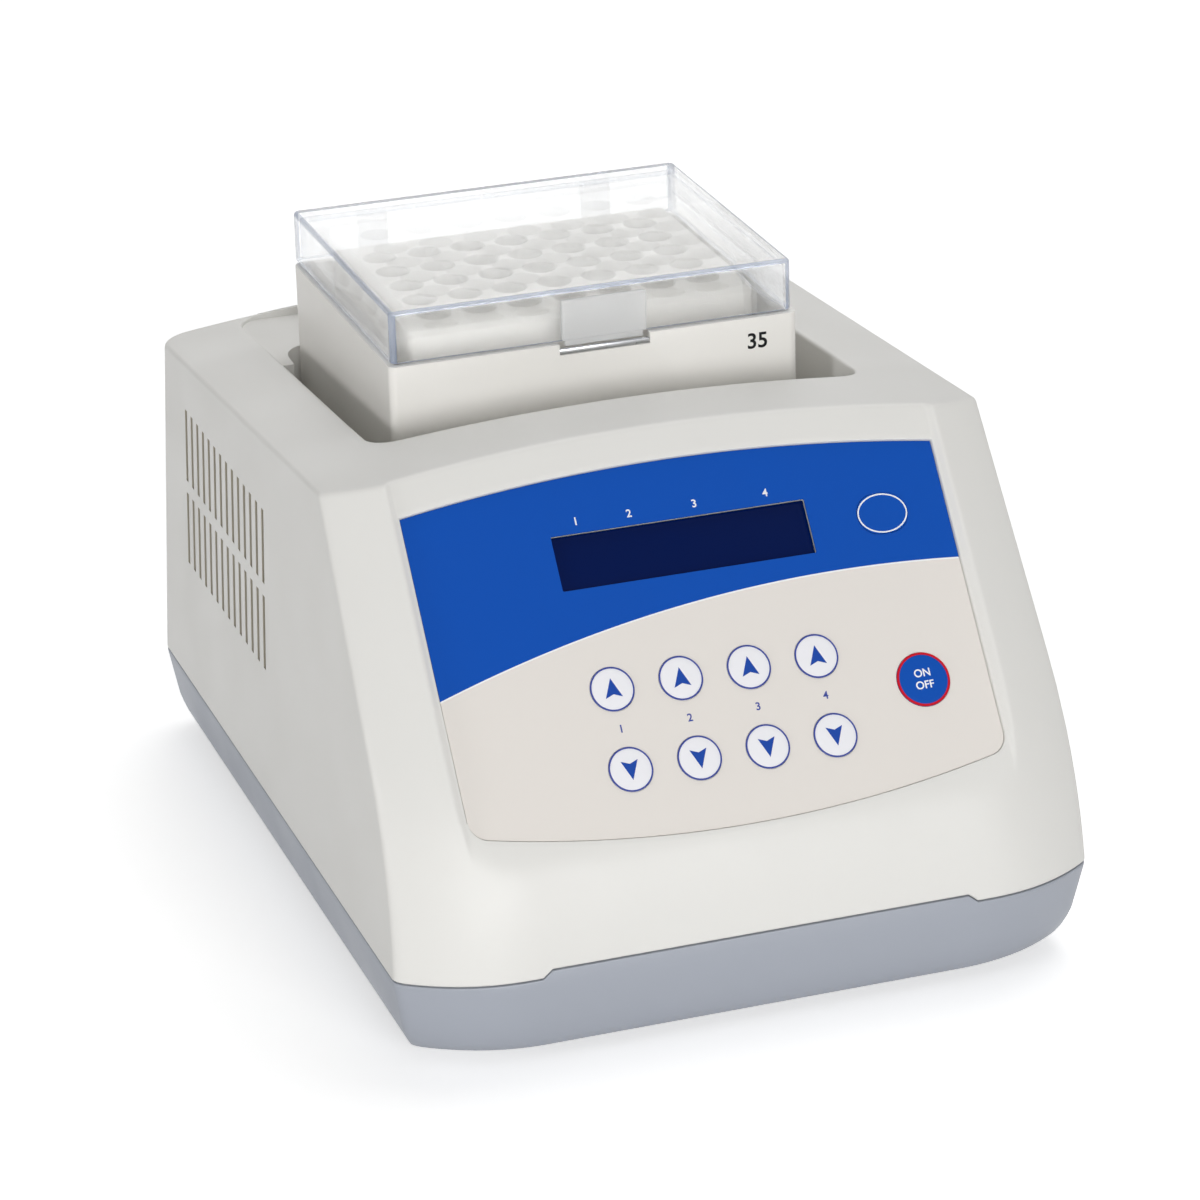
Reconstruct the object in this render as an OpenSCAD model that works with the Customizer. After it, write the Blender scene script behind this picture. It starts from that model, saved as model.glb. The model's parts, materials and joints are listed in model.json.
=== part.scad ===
// Bench thermal mixer for 35 tubes of 2.0 ml.
// Frame: +Z up, the front faces -Y, the origin is under the middle of the case on the bench.

/* [Case] */
// Width of the case at the seam
case_w = 223; // [205:1:240]
// Depth of the case at the seam
case_d = 295; // [292:1:310]
// Wall of the top shell and of the base
case_wall = 3; // [2.5:0.1:3.5]
// Lean of the side walls, in degrees
side_draft = 2.2; // [1.5:0.1:2.6]
// Lean of the back wall, in degrees
back_draft = 3.5; // [3:0.1:4]
// Height of the seam between shell and base
seam_z = 29.5; // [27:0.5:32]
// Gap at the seam
seam_gap = 0.4; // [0.2:0.1:0.6]
// Width of the raised middle of the seam
seam_step_w = 136; // [110:1:150]
// Rise of the raised middle of the seam
seam_step_h = 2.4; // [1.5:0.1:3]
// Inset of the base at its underside
base_inset = 6.5; // [4:0.5:8]
// Fall of the front corners behind the front face
corner_drop = 14; // [10:0.5:16]
// Width over which a front corner falls back
corner_run = 39; // [34:1:44]
// Radius of the back corners
back_corner_r = 10; // [6:0.5:12]

/* [Deck] */
// Height of the deck at the middle of its front edge
deck_front_z = 164.5; // [162:0.5:167]
// Distance of the deck's front edge behind the front of the case, at the seam
deck_run = 87.5; // [84.5:0.5:90.5]
// Fall of the deck to the back, in degrees
deck_slope = 4.4; // [3.6:0.1:5]
// Radius of the deck's crown from side to side
deck_crown_r = 752; // [650:10:900]

/* [Front] */
// Slope of the panel face from level, in degrees
face_tilt = 52.1; // [51:0.1:53]
// Slope of the front at the seam, in degrees
foot_tilt = 84; // [80:1:86]
// Radius of the bend between the two slopes
bend_r = 115; // [90:1:120]
// Height of the side rails over the panel face
rail_h = 4.2; // [3:0.1:5]
// Width of the panel face between the rails
face_w = 173; // [168:1:177]

/* [Panel] */
// Width of the membrane overlay
overlay_w = 171; // [165:1:172]
// Distance of the overlay's top below the deck edge, at the middle
overlay_top = 11.2; // [9:0.1:14]
// Distance of the overlay's bottom below the deck edge, at the middle
overlay_bottom = 127; // [123:0.5:128]
// Radius of the overlay's curved top and bottom edges
overlay_arc_r = 560; // [450:10:800]
// Thickness of the overlay
overlay_t = 0.6; // [0.4:0.1:0.8]
// Depth of the overlay's pocket
pocket_h = 1.5; // [1:0.1:1.8]
// Width of the display window
display_w = 81.6; // [76:0.2:84]
// Height of the display window
display_h = 17.4; // [15:0.2:19]
// Distance of the display's middle below the deck edge
display_v = 38.8; // [36:0.2:42]
// Diameter of an arrow key
key_d = 13.8; // [12:0.1:15]
// Pitch of the arrow keys from side to side
key_pitch = 21.8; // [19:0.1:23]
// Distance of the upper arrow keys below the deck edge
key_up_v = 79.5; // [76:0.5:82]
// Distance of the lower arrow keys below the deck edge
key_down_v = 104.6; // [100:0.5:107]
// Diameter of the start key
start_d = 17; // [14:0.5:18]
// Width of the short mix key
mix_w = 16.3; // [14:0.1:18]
// Height of the short mix key
mix_h = 12.7; // [10:0.1:14]
// Side position of the start and short mix keys
side_key_x = 64.5; // [62:0.5:68]
// Distance of the start key below the deck edge
start_v = 92; // [86:0.5:98]
// Distance of the short mix key below the deck edge
mix_v = 38.4; // [35:0.1:42]
// Travel of a key
key_travel = 0.5; // [0.3:0.1:0.6]

/* [Pit] */
// Width of the pit round the moving housing
pit_w = 161.4; // [156:0.2:165]
// Gap between the housing and the pit's front wall
pit_front_gap = 23.4; // [18:0.2:26]
// Height of the pit's floor
pit_floor_z = 112; // [108:1:118]
// Distance from the housing's back to the end of the lid's tray
tray_run = 31; // [26:1:33]
// Depth of the lid's tray under the deck, at its front
tray_h = 7; // [5:0.5:9]
// Radius of the pit's corners
pit_corner_r = 9; // [6:0.5:12]

/* [Housing] */
// Width of the moving housing
housing_w = 135.4; // [132:0.2:137]
// Depth of the moving housing
housing_d = 110.6; // [108:0.2:112]
// Height of the moving housing
housing_h = 73; // [68:1:78]
// Height of the housing's rim
rim_z = 173; // [171:0.5:175]
// Wall of the moving housing
housing_wall = 2.5; // [2:0.1:3]
// Distance of the housing in front of the back of the case, at the seam
housing_inset = 40.4; // [39.6:0.2:43]

/* [Tube block] */
// Wells from side to side
well_columns = 7; // [5:1:7]
// Wells from front to back
well_rows = 5; // [3:1:5]
// Pitch of the wells
well_pitch = 15; // [14:0.1:15.2]
// Diameter of a well
well_d = 11; // [10:0.1:12]
// Depth of a well
well_depth = 38; // [32:0.5:39]
// Width of the block
block_w = 115; // [112:0.5:118]
// Depth of the block
block_d = 87; // [85:0.5:90]
// Height of the block
block_h = 45; // [43:0.5:48]
// Height of the block's top over the housing's rim
block_rise = 6.6; // [4:0.1:8]

/* [Lid] */
// Width of the clear lid
lid_w = 133; // [130:0.5:134]
// Overhang of the lid behind the housing
lid_overhang = 2.9; // [2.4:0.1:3.4]
// Height of the clear lid
lid_h = 17; // [15:0.5:22]
// Wall of the clear lid
lid_wall = 2.4; // [1.8:0.1:3]
// Width of the lid's front clip
clip_w = 28; // [20:1:32]
// Height of the lid's front clip
clip_h = 14; // [10:0.5:15]
// Side position of the clip
clip_x = 3; // [-5:0.5:5]
// Depth of the notch in the rim under the clip
notch_h = 3.6; // [3:0.1:5]
// Side position of the two hinges
hinge_x = 39; // [30:1:48]
// Width of a hinge tab
hinge_tab_w = 10; // [8:0.5:12]
// Diameter of a hinge pin
hinge_pin_d = 3; // [2.5:0.1:3.2]

/* [Drive] */
// Throw of the eccentric
throw = 1.5; // [1:0.1:1.6]
// Diameter of the drive shaft and of its eccentric pin
shaft_d = 8; // [6:0.5:9]
// Diameter of an idler's pins
idler_pin_d = 6; // [4:0.5:7]
// Radial clearance of a shaft in its bearing
running_gap = 0.03; // [0.02:0.01:0.08]
// Diameter of the motor
motor_d = 56; // [50:1:60]
// Height of the motor
motor_h = 32; // [28:1:33]
// Thickness of the bridge plate
bridge_t = 6; // [5:0.5:8]
// Thickness of the carriage plate
carriage_t = 6; // [5:0.5:8]

/* [Cooling] */
// Thickness of the heat sink's base
sink_base_t = 6; // [5:0.5:7]
// Height of the heat sink's fins
fin_h = 25; // [16:1:30]
// Number of fins
fin_count = 15; // [8:1:18]
// Thickness of a Peltier module
peltier_t = 3.9; // [3:0.1:4.5]
// Side of a Peltier module
peltier_side = 40; // [30:1:40]
// Side of the cooling fan
fan_side = 60; // [50:1:60]
// Thickness of the cooling fan
fan_t = 15; // [12:1:16]
// Number of fan blades
fan_blades = 7; // [5:1:9]
// Number of slots in a row of side vents
vent_slots = 14; // [8:1:16]
// Width of a vent slot
vent_slot_w = 2.6; // [2:0.1:3]
// Height of a row of vent slots
vent_row_h = 25; // [16:1:26]

/* [Back] */
// Width of the back panel
back_panel_w = 160; // [156:1:170]
// Height of the back panel
back_panel_h = 88; // [84:1:90]
// Thickness of the back panel
back_panel_t = 2.5; // [2:0.1:3]

/* [Feet and boards] */
// Height of a rubber foot under the base
foot_h = 4; // [3:0.5:6]
// Diameter of a rubber foot
foot_d = 18; // [14:1:20]
// Thickness of the chassis plate
chassis_t = 3; // [2:0.5:4]
// Thickness of a circuit board
board_t = 1.6; // [1.2:0.1:2]
// Diameter of the case screws
screw_d = 3.8; // [3:0.1:4]

/* [Hidden] */
$fn = 64;
eps = 0.01;
far = 400;
fit_gap = 0.3;
seat_gap = 0.15;

// Case profile
half_w = case_w / 2;
half_d = case_d / 2;
deck_front_y = half_d - deck_run;
shell_bottom = seam_z + seam_gap;
edge = [-deck_front_y, deck_front_z];
face_up = [cos(face_tilt), sin(face_tilt)];
face_out = [-sin(face_tilt), cos(face_tilt)];
foot_up = [cos(foot_tilt), sin(foot_tilt)];
rail_start = edge + rail_h * face_out;
front_foot = [-half_d, seam_z];
bend_corner = meet(rail_start, face_up, front_foot, foot_up);
bend_centre = bend_corner + face_up * bend_r * tan((foot_tilt - face_tilt) / 2) - bend_r * face_out;
bend_steps = 7;
shell_top_z = deck_front_z + 12;
wall_run = case_wall / sin(face_tilt);

// Pit, housing and lid
housing_back = half_d - housing_inset;
housing_front = housing_back - housing_d;
housing_y = (housing_front + housing_back) / 2;
housing_bottom = rim_z - housing_h;
pit_front = housing_front - pit_front_gap;
orbit_gap = 2 * throw + 1.5;
tray_front = housing_back - 11;
tray_back = housing_back + tray_run;
tray_floor = deck_z(half_w * 0.7, tray_front) - tray_h;
lid_front = housing_front + 2;
lid_back = housing_back + lid_overhang;
lid_d = lid_back - lid_front;
lid_bottom = rim_z + fit_gap;
hinge_y = lid_back + hinge_pin_d;
hinge_z = rim_z - 4.5;
hinge_tab_t = 2;
barrel_r = hinge_pin_d / 2 + 1.8;

// Tube block
housing_corner_r = 2.6;
housing_inner_r = 1;
insulation_h = 20;
block_top = rim_z + block_rise;
block_bottom = block_top - block_h;
block_y = housing_y + 0.8;
well_r = well_d / 2;
well_rim = 0.5;
peltier_bottom = block_bottom - peltier_t;
sink_top = peltier_bottom;
sink_bottom = sink_top - sink_base_t;
ledge_t = 2.5;
probe_d = 3;
probe_insert = 20;
probe_z = block_bottom + 3.6;
probe_reach = housing_back - housing_wall - block_y - block_d / 2 - 2;

// Drive train, from the base up
sink_side_gap = 5.2;
sink_end_gap = 3.3;
tray_floor_z = foot_h + case_wall;
chassis_z = tray_floor_z + 5;
chassis_top = chassis_z + chassis_t;
motor_bottom = chassis_top + 3;
bridge_z = motor_bottom + motor_h;
bridge_top = bridge_z + bridge_t;
hub_z = bridge_top + 4;
hub_h = 6;
hub_r = 12;
hub_top = hub_z + hub_h;
carriage_z = hub_top + 5;
carriage_top = carriage_z + carriage_t;
axis_y = block_y;
shaft_r = shaft_d / 2;
rotor_r = shaft_r + 10;
bearing_h = 6;
motor_wall = 2.5;
motor_end_t = 4;
motor_screw_r = 1.4;
motor_screw_circle = motor_d / 2 - motor_wall - 3;
idler_r = idler_pin_d / 2;
bearing_r = shaft_r + 7;
bush_r = idler_r + 3.5;
sink_w = housing_w - 2 * (housing_wall + sink_side_gap);
sink_d = housing_d - 2 * (housing_wall + sink_end_gap);
carriage_w = sink_w;
carriage_d = sink_d + 5;
plate_corner_r = 8;
idler_x = carriage_w / 2 - 12;
idler_front = axis_y - carriage_d / 2 + 10;
idler_places = [[-idler_x, idler_front], [idler_x, idler_front], [0, axis_y + carriage_d / 2 - 8]];
post_r = 4;
post_x = sink_w / 2 - post_r - 2;
post_dy = sink_d / 2 - post_r - 2.5;
fin_field_w = 88;
fin_t = 2;
block_screw_x = block_w / 2 - 7.5;
block_screw_dy = 32;

// Control panel, in the panel's own frame: x to the right, y up the slope, z out of the face
pocket_floor = -pocket_h;
overlay_face = pocket_floor + overlay_t;
panel_back = pocket_floor - case_wall;
module_t = 7;
module_gap = 0.2;
panel_board_top = panel_back - module_t - module_gap;
panel_board_w = 156;
panel_board_v0 = 22;
panel_board_v1 = 117;
key_gap = 0.3;
key_floor = overlay_face - 1.2;
key_proud = 0.2;
stem_r = 2.5;
switch_gap = 0.3;
stem_end = panel_back - 3;
switch_top = stem_end - key_travel - switch_gap;
key_xs = [for (i = [0:3]) (i - 1.5) * key_pitch];

// Back panel and what it carries
back_panel_z = seam_z + 5.5;
back_panel_top = back_panel_z + back_panel_h;
back_y = half_d - (back_panel_top - seam_z) * tan(back_draft) - 2.6;
rebate = 3.5;
ledge_w = 6;
panel_gap = 0.3;
fan_x = -30;
fan_z = back_panel_z + back_panel_h / 2;
fan_bore_r = fan_side / 2 - 1.5;
fan_hub_r = 14;
fan_y = back_y - back_panel_t - fan_t;
inlet_x = 50;
inlet_z = back_panel_z + ledge_w + 14;
inlet_w = 27.6;
inlet_h = 24;
inlet_d = 19;
flange_w = 48;
flange_t = 2.5;
socket_w = 24;
socket_h = 16;
socket_d = 18;
fuse_z = inlet_z + 21;
fuse_w = 24;
fuse_h = 12;
switch_x = inlet_x;
switch_z = back_panel_top - 19;
switch_w = 19;
switch_h = 13;
switch_d = 17;
rocker_swing = 16;
rocker_w = switch_w - 4;
rocker_h = switch_h - 4.2;
rocker_y = -1.5;
rocker_face = 4.6;
rocker_hub_r = 3;

// Vents
vent_front = 8.7;
vent_run = 95.8;
vent_top = 128;
vent_rib = 4.3;

// Boards and fasteners
screw_r = screw_d / 2;
boss_r = 6;
bridge_clear = 4.6;
boss_top = seam_z + 34;
case_screw_places = [[-half_w + 18, -98], [half_w - 18, -98], [-half_w + 18, 122], [half_w - 18, 122]];
foot_places = [[-half_w + 30, -half_d + 38], [half_w - 30, -half_d + 38],
    [-half_w + 30, half_d - 28], [half_w - 30, half_d - 28]];
foot_pocket = 1.5;
lip_rise = 2;
panel_screw_r = 1.4;
chassis_w = 2 * (half_w - 18 - boss_r - 1.5);
bridge_w = chassis_w - 30;
bridge_d = 2 * (back_y - inlet_d - bridge_clear - axis_y);
pillar_r = 6;
pillar_tap = 10;
pillar_x = bridge_w / 2 - pillar_r - 1;
pillar_dy = bridge_d / 2 - pillar_r - 1;
chassis_front = -116;
chassis_back = axis_y + bridge_d / 2 + 4;
chassis_screw_x = chassis_w / 2 - 8;
chassis_screw_ys = [chassis_front + 8, (chassis_front + chassis_back) / 2, chassis_back - 8];
board_z = chassis_top + 5;
supply_w = chassis_w / 2 - 5;
supply_x = -supply_w / 2 - 2;
supply_y = -73;
supply_l = 58;
control_w = supply_w;
control_x = -supply_x;
control_y = supply_y;
control_l = supply_l;
ribbon_w = 20;
transformer = [26, 24, 22];
supply_fin = [4, 48, 18];
capacitor_r = 9;
capacitor_h = 20;
wire_r = 1.4;
wire_step = 3.2;

// Point where the line from p along u meets the line from q along w
function meet(p, u, q, w) = p + u * (cross2(q - p, w) / cross2(u, w));
function cross2(a, b) = a.x * b.y - a.y * b.x;
// Height of the deck at a place on the case
function deck_z(x, y) = deck_front_z - (y + deck_front_y) * tan(deck_slope)
    - deck_crown_r + sqrt(pow(deck_crown_r, 2) - x * x);
// Point of the front bend where its slope is a
function bend_point(a) = bend_centre + bend_r * [-sin(a), cos(a)];
// Front of the case at height z above the bend
function rail_y(z) = rail_start.x + (z - rail_start.y) / tan(face_tilt);
function side_x(z) = half_w - (z - seam_z) * tan(side_draft);
function back_wall_y(z) = half_d - (z - seam_z) * tan(back_draft);

// Front outline of the case seen from above, with its middle at y0 and half width w
function front_outline(y0, w) = concat(
    [for (i = [0:12]) let (t = 1 - i / 12) [-w + corner_run * (1 - t), y0 + corner_drop * pow(t, 2.2)]],
    [for (i = [0:12]) let (t = i / 12) [w - corner_run * (1 - t), y0 + corner_drop * pow(t, 2.2)]]);
// Whole outline of the case, with its back at y1
function case_outline(y0, y1, w, corner_r) = concat(
    front_outline(y0, w),
    [for (a = [0:15:90]) [w - corner_r + corner_r * cos(a), y1 - corner_r + corner_r * sin(a)]],
    [for (a = [90:15:180]) [-w + corner_r + corner_r * cos(a), y1 - corner_r + corner_r * sin(a)]]);

// One thin slice of the case, drawn in by inset
module case_slice(z, y0, inset, run) {
    translate([0, 0, z])
        linear_extrude(eps)
            polygon(case_outline(y0 + run, back_wall_y(z) - inset, side_x(z) - inset,
                back_corner_r - inset / 2));
}

// The case over the seam as one solid, drawn in by inset
module case_body(inset, run) {
    heights = [for (i = [0:bend_steps]) bend_point(foot_tilt + (face_tilt - foot_tilt) * i / bend_steps)];
    hull() {
        case_slice(seam_z - (inset > 0 ? eps : 0), -half_d, inset, run);
        for (p = heights)
            translate([0, 0, p.y])
                linear_extrude(eps)
                    polygon(front_outline(p.x + run, side_x(p.y) - inset));
        case_slice(shell_top_z, rail_y(shell_top_z), inset, run);
    }
}

// Everything under the deck's crown, lowered by drop
module under_deck(drop) {
    translate([0, -deck_front_y, deck_front_z - drop])
        rotate([-deck_slope, 0, 0])
            translate([0, 0, -deck_crown_r])
                rotate([90, 0, 0])
                    cylinder(r = deck_crown_r, h = 2 * far, center = true, $fn = 360);
}

module on_panel() {
    translate([0, -deck_front_y, deck_front_z])
        rotate([face_tilt, 0, 0])
            children();
}

module rounded_plate(w, d, r, h) {
    linear_extrude(h) {
        square([w - 2 * r, d], center = true);
        square([w, d - 2 * r], center = true);
        for (x = [-1, 1], y = [-1, 1])
            translate([x * (w / 2 - r), y * (d / 2 - r)])
                circle(r);
    }
}

module box(w, d, h) {
    translate([-w / 2, -d / 2, 0])
        cube([w, d, h]);
}

module rod(p, q, r) {
    v = q - p;
    translate(p)
        rotate([0, acos(v.z / norm(v)), atan2(v.y, v.x)])
            cylinder(r = r, h = norm(v), $fn = 24);
}

module ring(r_in, r_out, h) {
    difference() {
        cylinder(r = r_out, h = h);
        translate([0, 0, -eps])
            cylinder(r = r_in, h = h + 2 * eps);
    }
}

module screw(head_r, head_h, length) {
    cylinder(r = head_r, h = head_h);
    translate([0, 0, head_h - eps])
        cylinder(r = screw_r, h = length);
}

// Overlay outline in the panel's frame, grown by grow
module overlay_outline(grow) {
    intersection() {
        translate([-overlay_w / 2 - grow, -overlay_bottom - grow])
            square([overlay_w + 2 * grow, overlay_bottom]);
        translate([0, -overlay_top + grow - overlay_arc_r])
            circle(overlay_arc_r, $fn = 360);
        translate([0, -overlay_bottom - grow + overlay_arc_r * 0.7])
            circle(overlay_arc_r * 0.7, $fn = 360);
    }
}

module key_hole_outlines(grow) {
    for (x = key_xs, v = [key_up_v, key_down_v])
        translate([x, -v])
            circle(key_d / 2 + grow);
    translate([side_key_x, -start_v])
        circle(start_d / 2 + grow);
    translate([side_key_x, -mix_v])
        key_pill(mix_w + 2 * grow, mix_h + 2 * grow);
}

module key_pill(w, h) {
    square([w - h, h], center = true);
    for (s = [-1, 1])
        translate([s * (w - h) / 2, 0])
            circle(h / 2);
}

module display_outline(grow) {
    translate([0, -display_v])
        square([display_w + 2 * grow, display_h + 2 * grow], center = true);
}

module side_vents() {
    pitch = vent_run / (vent_slots - 1);
    for (s = [-1, 1], i = [0:vent_slots - 1], row = [0, 1])
        translate([s * half_w, vent_front + i * pitch, vent_top - row * (vent_row_h + vent_rib)])
            translate([0, 0, -vent_row_h / 2])
                cube([30, vent_slot_w, vent_row_h], center = true);
}

module pit_space() {
    deep_d = tray_front - pit_front;
    translate([0, pit_front + deep_d / 2, pit_floor_z])
        rounded_plate(pit_w, deep_d, pit_corner_r, far);
    translate([0, housing_y, pit_floor_z - case_wall - 1])
        rounded_plate(housing_w + 2 * orbit_gap, housing_d + 2 * orbit_gap, pit_corner_r, far);
    intersection() {
        translate([0, (pit_front + tray_back) / 2, tray_floor - 5])
            rounded_plate(pit_w, tray_back - pit_front, pit_corner_r, far);
        rotate([90, 0, 90])
            translate([0, 0, -far / 2])
                linear_extrude(far)
                    polygon([[tray_front - pit_corner_r, tray_floor],
                        [tray_back, deck_z(half_w * 0.7, tray_back) - 1],
                        [tray_back, far], [tray_front - pit_corner_r, far]]);
    }
}

// The deep tub, the collar round the housing behind it and the floor of the tray
module pit_wall() {
    t = 2 * case_wall;
    r = pit_corner_r + case_wall;
    translate([0, (pit_front + tray_front) / 2, pit_floor_z - case_wall])
        rounded_plate(pit_w + t, tray_front - pit_front + t, r, far);
    translate([0, housing_y, pit_floor_z - case_wall])
        rounded_plate(housing_w + 2 * orbit_gap + t, housing_d + 2 * orbit_gap + t, r, far);
    translate([0, (pit_front + tray_back) / 2, tray_floor - case_wall])
        rounded_plate(pit_w + t, tray_back - pit_front + t, r, far);
}

// The space between the rails, with slanted sides
module face_recess() {
    top = rail_h * 3;
    on_panel()
        rotate([90, 0, 0])
            translate([0, 0, -30])
                linear_extrude(2 * far)
                    polygon([[-face_w / 2, 0], [face_w / 2, 0],
                        [face_w / 2 + top, top], [-face_w / 2 - top, top]]);
}

// Raised middle of the seam, with slanted ends
module seam_step(grow) {
    wide = seam_step_w / 2 + 1.5 + grow;
    narrow = seam_step_w / 2 - 1.5 + grow;
    rotate([90, 0, 0])
        linear_extrude(far)
            polygon([[-wide, seam_z - eps], [wide, seam_z - eps],
                [narrow, seam_z + seam_step_h + grow], [-narrow, seam_z + seam_step_h + grow]]);
}

module shell_bosses() {
    for (p = case_screw_places)
        translate([p.x, p.y, shell_bottom]) {
            cylinder(r = boss_r, h = boss_top - shell_bottom);
            translate([sign(p.x) * 10, 0, lip_rise])
                box(20, 3, boss_top - shell_bottom - lip_rise);
        }
}

module panel_bosses(length) {
    for (x = [-1, 1], v = [panel_board_v0 + 5, panel_board_v1 - 5])
        translate([x * (panel_board_w / 2 - 5), -v, -length])
            cylinder(r = 3, h = length - pocket_h);
}

module back_frame() {
    translate([0, back_y - back_panel_t - rebate, back_panel_z - case_wall])
        translate([-back_panel_w / 2 - case_wall, 0, 0])
            cube([back_panel_w + 2 * case_wall, 30, back_panel_h + 2 * case_wall]);
}

module back_opening() {
    translate([-back_panel_w / 2, back_y - back_panel_t, back_panel_z])
        cube([back_panel_w, far, back_panel_h]);
    translate([-back_panel_w / 2 + ledge_w, fan_y - fan_t, back_panel_z + ledge_w])
        cube([back_panel_w - 2 * ledge_w, far, back_panel_h - 2 * ledge_w]);
    at_panel_screws(-back_panel_t)
        cylinder(r = panel_screw_r + seat_gap, h = rebate - 1);
}

// The drop-in tub round the housing, seated under the deck
module splash_tub() color([0.87, 0.87, 0.85])
    difference() {
        intersection() {
            case_body(case_wall + seat_gap, wall_run + seat_gap);
            under_deck(case_wall + seat_gap);
            pit_wall();
        }
        pit_space();
    }

module top_shell() color([0.87, 0.87, 0.85]) {
    difference() {
        intersection() {
            case_body(0, 0);
            under_deck(0);
            union() {
                difference() {
                    translate([0, 0, shell_bottom + far / 2])
                        cube([far, far, far], center = true);
                    intersection() {
                        case_body(case_wall, wall_run);
                        under_deck(case_wall);
                        on_panel()
                            translate([-far / 2, -far / 2, panel_back - far])
                                cube(far);
                    }
                }
                shell_bosses();
                back_frame();
                on_panel()
                    panel_bosses(-panel_board_top);
            }
        }
        face_recess();
        pit_space();
        side_vents();
        back_opening();
        seam_step(seam_gap);
        on_panel() {
            translate([0, 0, pocket_floor])
                linear_extrude(far)
                    overlay_outline(0.2);
            translate([0, 0, panel_back - eps])
                linear_extrude(far) {
                    key_hole_outlines(key_gap);
                    display_outline(0);
                }
        }
        for (p = case_screw_places)
            translate([p.x, p.y, seam_z - 1])
                cylinder(r = screw_r + seat_gap, h = boss_top - seam_z - 3);
        translate([0, 0, shell_bottom - far])
            translate([-far / 2, -far / 2, 0])
                cube([far, far, far]);
    }
}

module base_slice(z, inset, t) {
    translate([0, 0, z])
        linear_extrude(t)
            polygon(case_outline(-half_d + inset, half_d - inset, half_w - inset, back_corner_r));
}

module base_tray() color([0.66, 0.68, 0.71]) {
    lip_inset = wall_run + 0.7;
    difference() {
        union() {
            difference() {
                hull() {
                    base_slice(seam_z - eps, 0, eps);
                    base_slice(foot_h + 9, base_inset * 0.45, eps);
                    base_slice(foot_h + 3, base_inset * 0.75, eps);
                    base_slice(foot_h, base_inset, eps);
                }
                hull() {
                    base_slice(tray_floor_z, base_inset + case_wall, eps);
                    base_slice(seam_z, case_wall, eps);
                }
            }
            // Lip that locates the shell
            difference() {
                base_slice(seam_z - 4, lip_inset, 4 + lip_rise);
                base_slice(seam_z - 5, lip_inset + 1.5, 6 + lip_rise);
            }
            difference() {
                base_slice(seam_z - 4, case_wall * 0.7, 4);
                base_slice(seam_z - 5, lip_inset + 1.5, 6);
            }
            intersection() {
                difference() {
                    hull() {
                        case_slice(seam_z - 2, -half_d, 0, 0);
                        case_slice(seam_z + seam_step_h, -half_d, 0, 0);
                    }
                    base_slice(seam_z - 3, case_wall, far);
                }
                seam_step(0);
                case_body(0, 0);
            }
            for (p = case_screw_places)
                translate([p.x, p.y, foot_h])
                    cylinder(r = boss_r, h = seam_z - foot_h);
            for (x = [-1, 1], y = chassis_screw_ys)
                translate([x * chassis_screw_x, y, foot_h])
                    cylinder(r = boss_r, h = chassis_z - foot_h);
        }
        for (p = case_screw_places)
            translate([p.x, p.y, foot_h - eps]) {
                cylinder(r = boss_r - 1.5, h = 6);
                cylinder(r = screw_r + seat_gap, h = far);
            }
        for (x = [-1, 1], y = chassis_screw_ys)
            translate([x * chassis_screw_x, y, tray_floor_z - 1])
                cylinder(r = screw_r + seat_gap, h = far);
        for (p = foot_places)
            translate([p.x, p.y, foot_h - eps])
                cylinder(r = foot_d / 2 + seat_gap, h = foot_pocket + seat_gap);
    }
}

module rubber_feet() color([0.15, 0.15, 0.15])
    for (p = foot_places)
        translate([p.x, p.y, 0])
            cylinder(r = foot_d / 2, h = foot_h + foot_pocket);

module case_screws() color([0.7, 0.7, 0.72])
    for (p = case_screw_places)
        translate([p.x, p.y, foot_h + 3])
            screw(boss_r - 2, 3, boss_top - foot_h - 12);

module chassis_plate() color([0.75, 0.76, 0.78])
    difference() {
        translate([0, (chassis_front + chassis_back) / 2, chassis_z])
            rounded_plate(chassis_w, chassis_back - chassis_front, 6, chassis_t);
        for (x = [-1, 1], y = chassis_screw_ys)
            translate([x * chassis_screw_x, y, chassis_z - 1])
                cylinder(r = screw_r + seat_gap, h = chassis_t + 2);
    }

module at_pillars(z)
    for (x = [-1, 1], y = [-1, 1])
        translate([-throw + x * pillar_x, axis_y + y * pillar_dy, z])
            children();

module frame_pillars() color([0.72, 0.73, 0.75])
    at_pillars(chassis_top)
        difference() {
            cylinder(r = pillar_r, h = bridge_z - chassis_top);
            translate([0, 0, bridge_z - chassis_top - pillar_tap])
                cylinder(r = screw_r + seat_gap, h = pillar_tap + 1);
        }

module bridge_plate() color([0.78, 0.79, 0.8])
    difference() {
        translate([-throw, axis_y, bridge_z])
            rounded_plate(bridge_w, bridge_d, plate_corner_r, bridge_t);
        translate([-throw, axis_y, bridge_z - 1])
            cylinder(r = hub_r + 2, h = bridge_t + 2);
        for (p = idler_places)
            translate([p.x - throw, p.y, bridge_z - 1])
                cylinder(r = bush_r, h = bridge_t + 2);
        at_pillars(bridge_z - 1)
            cylinder(r = screw_r + seat_gap, h = bridge_t + 2);
        at_motor_screws(bridge_z - 1)
            cylinder(r = motor_screw_r + seat_gap, h = bridge_t + 2);
    }

// The screws of the chassis and of the pillars, and the four low screws that hold the motor
module frame_screws() color([0.7, 0.7, 0.72]) {
    for (x = [-1, 1], y = chassis_screw_ys)
        translate([x * chassis_screw_x, y, chassis_top + 2.5])
            mirror([0, 0, 1])
                screw(3.6, 2.5, chassis_t + 4);
    at_pillars(bridge_top + 2.5)
        mirror([0, 0, 1])
            screw(3.6, 2.5, bridge_t + 8);
    at_motor_screws(bridge_z - 3)
        cylinder(r = motor_screw_r, h = bridge_t + 3 + eps);
    at_motor_screws(bridge_top)
        cylinder(r = 2 * motor_screw_r, h = 1.6);
}

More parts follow.
